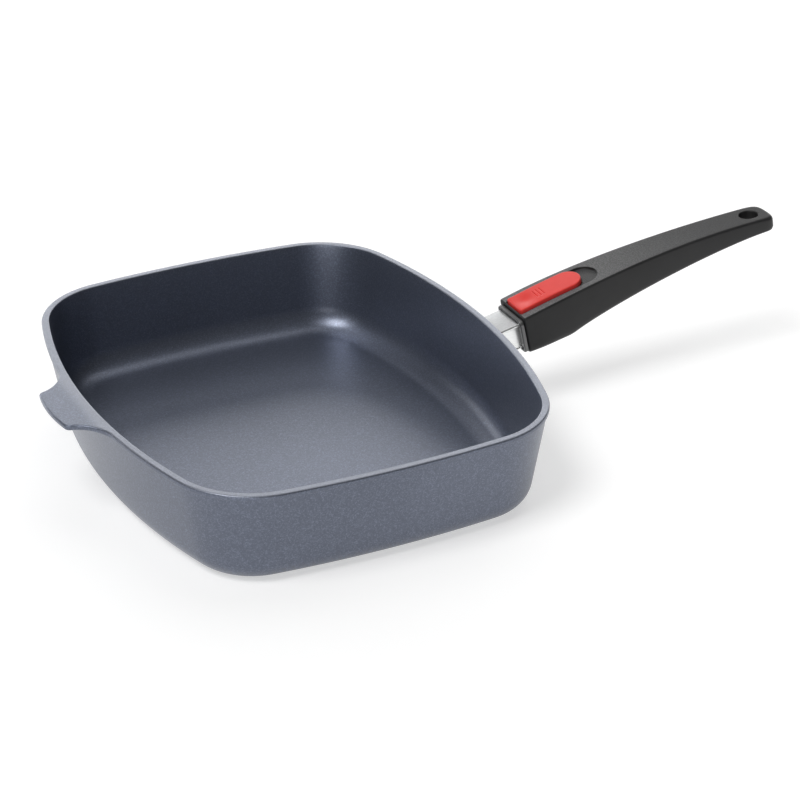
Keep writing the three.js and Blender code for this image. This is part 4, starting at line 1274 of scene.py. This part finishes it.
def slide_button():
    button = skin("button", [button_section(x) for x in button_stations()])
    hollow_half = CHEEK_OUTSIDE + SEAT_GAP
    hollow = (CHEEK_FRONT - SEAT_GAP, CHEEK_BACK + SEAT_GAP)
    cut(button, block(hollow, (-hollow_half, hollow_half), (0, CHEEK_TOP + SEAT_GAP)))
    skirt_end = BUTTON_BACK - BUTTON_HALF - BUTTON_TRAVEL
    wide = BUTTON_HALF + 1
    behind_skirt = [
        *arc((skirt_end, 0), BUTTON_HALF, -90, 90, 24),
        (skirt_end, wide), (BUTTON_BACK + 1, wide), (BUTTON_BACK + 1, -wide), (skirt_end, -wide)]
    clear_of_shelf = RECESS_SHELF + SEAT_GAP
    cut(button, skin("behind_skirt", [at_z(behind_skirt, 0), at_z(behind_skirt, clear_of_shelf)]))
    for side in (-1, 1):
        ends = sorted((side * CHEEK_GAP, side * (hollow_half + PEG_ROOT)))
        joined(button, rod_y(PEG_RADIUS, *ends, PEG_X, PEG_Z))
    return button


finished(slide_button(), "button", "button", "red_plastic", RED, "slide_button")


# Return spring, which shortens as the button comes back; here it is drawn at one length, on a mesh of its
# own

def return_spring():
    rings = []
    turn_steps = 20
    wire_sides = 10
    run = SPRING_BACK - SPRING_FRONT - 2 * SPRING_WIRE
    steps = turn_steps * SPRING_TURNS
    for step in range(steps + 1):
        turn = 2 * math.pi * step / turn_steps
        middle = SPRING_FRONT + SPRING_WIRE + run * step / steps
        ring = []
        for u, v in circle((0, 0), SPRING_WIRE, wire_sides):
            radius = SPRING_RADIUS + u
            ring.append((middle + v, radius * math.cos(turn), SPRING_Z + radius * math.sin(turn)))
        rings.append(ring)
    return skin("spring", rings)


spring = finished(return_spring(), "spring", "handle", "steel", STEEL, "return_spring", smooth=60)
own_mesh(spring)

for name in ("slide_carrier", "lock_bolt", "bolt_pin", "spring_guide"):
    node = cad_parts[name]
    node.data.materials.clear()
    node.data.materials.append(STEEL.material)


# Floor, light and camera

FLOOR_SIZE = 12  # metres, as the camera's distances are
FLOOR_TONE = (0.6, 0.6, 0.6, 1)
FLOOR_GLOW = (0.53, 0.53, 0.53, 1)
WORLD_LEVEL = 0.1
LIGHTS = (  # name, direction towards it, spread in degrees, strength
    ("overhead", (0.37, 0.38, 0.85), 54, 0.66),
    ("key_left", (-0.5, -0.14, 0.85), 28, 1.75),
    ("front_left", (-0.63, -0.77, 0.02), 34, 0.8),
    ("back_middle", (0.42, 0.85, 0.31), 26, 0.33),
    ("back_left", (0.07, 0.943, 0.31), 26, 0.33),
    ("back_right", (0.708, 0.628, 0.31), 26, 0.28),
    ("low_left", (-0.36, 0.92, 0.14), 30, 0.6),
)
CAMERA_TURN = -26.4  # degrees
CAMERA_LIFT = 27.75
CAMERA_DISTANCE = 1.69392
CAMERA_RIGHT = 0.0712
CAMERA_DOWN = 0.02707
CAMERA_LENS = 119.89
SENSOR_WIDTH = 36


def floor():
    """A pale floor that keeps the shadow, looks white where it is lit and is clear from below."""
    bpy.ops.object.select_all(action="DESELECT")
    bpy.ops.mesh.primitive_plane_add(size=FLOOR_SIZE)
    ground = bpy.context.object
    ground.name = "floor"
    finish = Finish("pale_floor", {
        "Base Color": FLOOR_TONE, "Roughness": 0.9, "Specular IOR Level": 0.1,
        "Emission Strength": 1.0})
    in_view = finish.node("ShaderNodeLightPath", {}, {}, "Is Camera Ray")
    mirrored = finish.node("ShaderNodeLightPath", {}, {}, "Is Glossy Ray")
    through = finish.node("ShaderNodeLightPath", {}, {}, "Is Transmission Ray")
    glow = finish.blend(in_view + mirrored + through, (0, 0, 0, 1), FLOOR_GLOW)
    finish.feed("Emission Color", glow)
    behind = finish.node("ShaderNodeNewGeometry", {}, {}, "Backfacing")
    clear = finish.node("ShaderNodeBsdfTransparent", {}, {})
    seen = finish.node("ShaderNodeMixShader", {}, {
        0: behind, 1: Value(finish, finish.shader.outputs[0]), 2: clear})
    output = finish.tree.nodes["Material Output"]
    finish.tree.links.new(seen.socket, output.inputs["Surface"])
    ground.data.materials.append(finish.material)


def soft_light(name, towards, spread, strength):
    """A broad light from far away, so that its level is the same all over the floor."""
    bpy.ops.object.light_add(type="SUN")
    lamp = bpy.context.object
    lamp.name = name
    lamp.data.angle = math.radians(spread)
    lamp.data.energy = strength
    lamp.rotation_euler = Vector(towards).to_track_quat("Z", "Y").to_euler()


def studio():
    world = bpy.data.worlds.new("studio")
    bpy.context.scene.world = world
    world.use_nodes = True
    background = world.node_tree.nodes["Background"]
    background.inputs["Color"].default_value = (1, 1, 1, 1)
    background.inputs["Strength"].default_value = WORLD_LEVEL
    for light in LIGHTS:
        soft_light(*light)


def photo_camera():
    """The photo's view, aimed at the middle of the rim and then shifted."""
    turn = math.radians(CAMERA_TURN)
    lift = math.radians(CAMERA_LIFT)
    back = Vector((math.sin(turn) * math.cos(lift), -math.cos(turn) * math.cos(lift), math.sin(lift)))
    right = Vector((math.cos(turn), math.sin(turn), 0))
    up = back.cross(right)
    bpy.ops.object.camera_add()
    camera = bpy.context.object
    camera.name = "camera"
    camera.data.lens = CAMERA_LENS
    camera.data.sensor_width = SENSOR_WIDTH
    rim_middle = Vector((0, 0, PAN_HEIGHT * MM))
    camera.location = rim_middle + CAMERA_DISTANCE * back + CAMERA_RIGHT * right - CAMERA_DOWN * up
    camera.rotation_euler = Matrix((right, up, back)).transposed().to_euler()
    bpy.context.scene.camera = camera


floor()
studio()
photo_camera()
bpy.context.scene.view_settings.view_transform = "Standard"
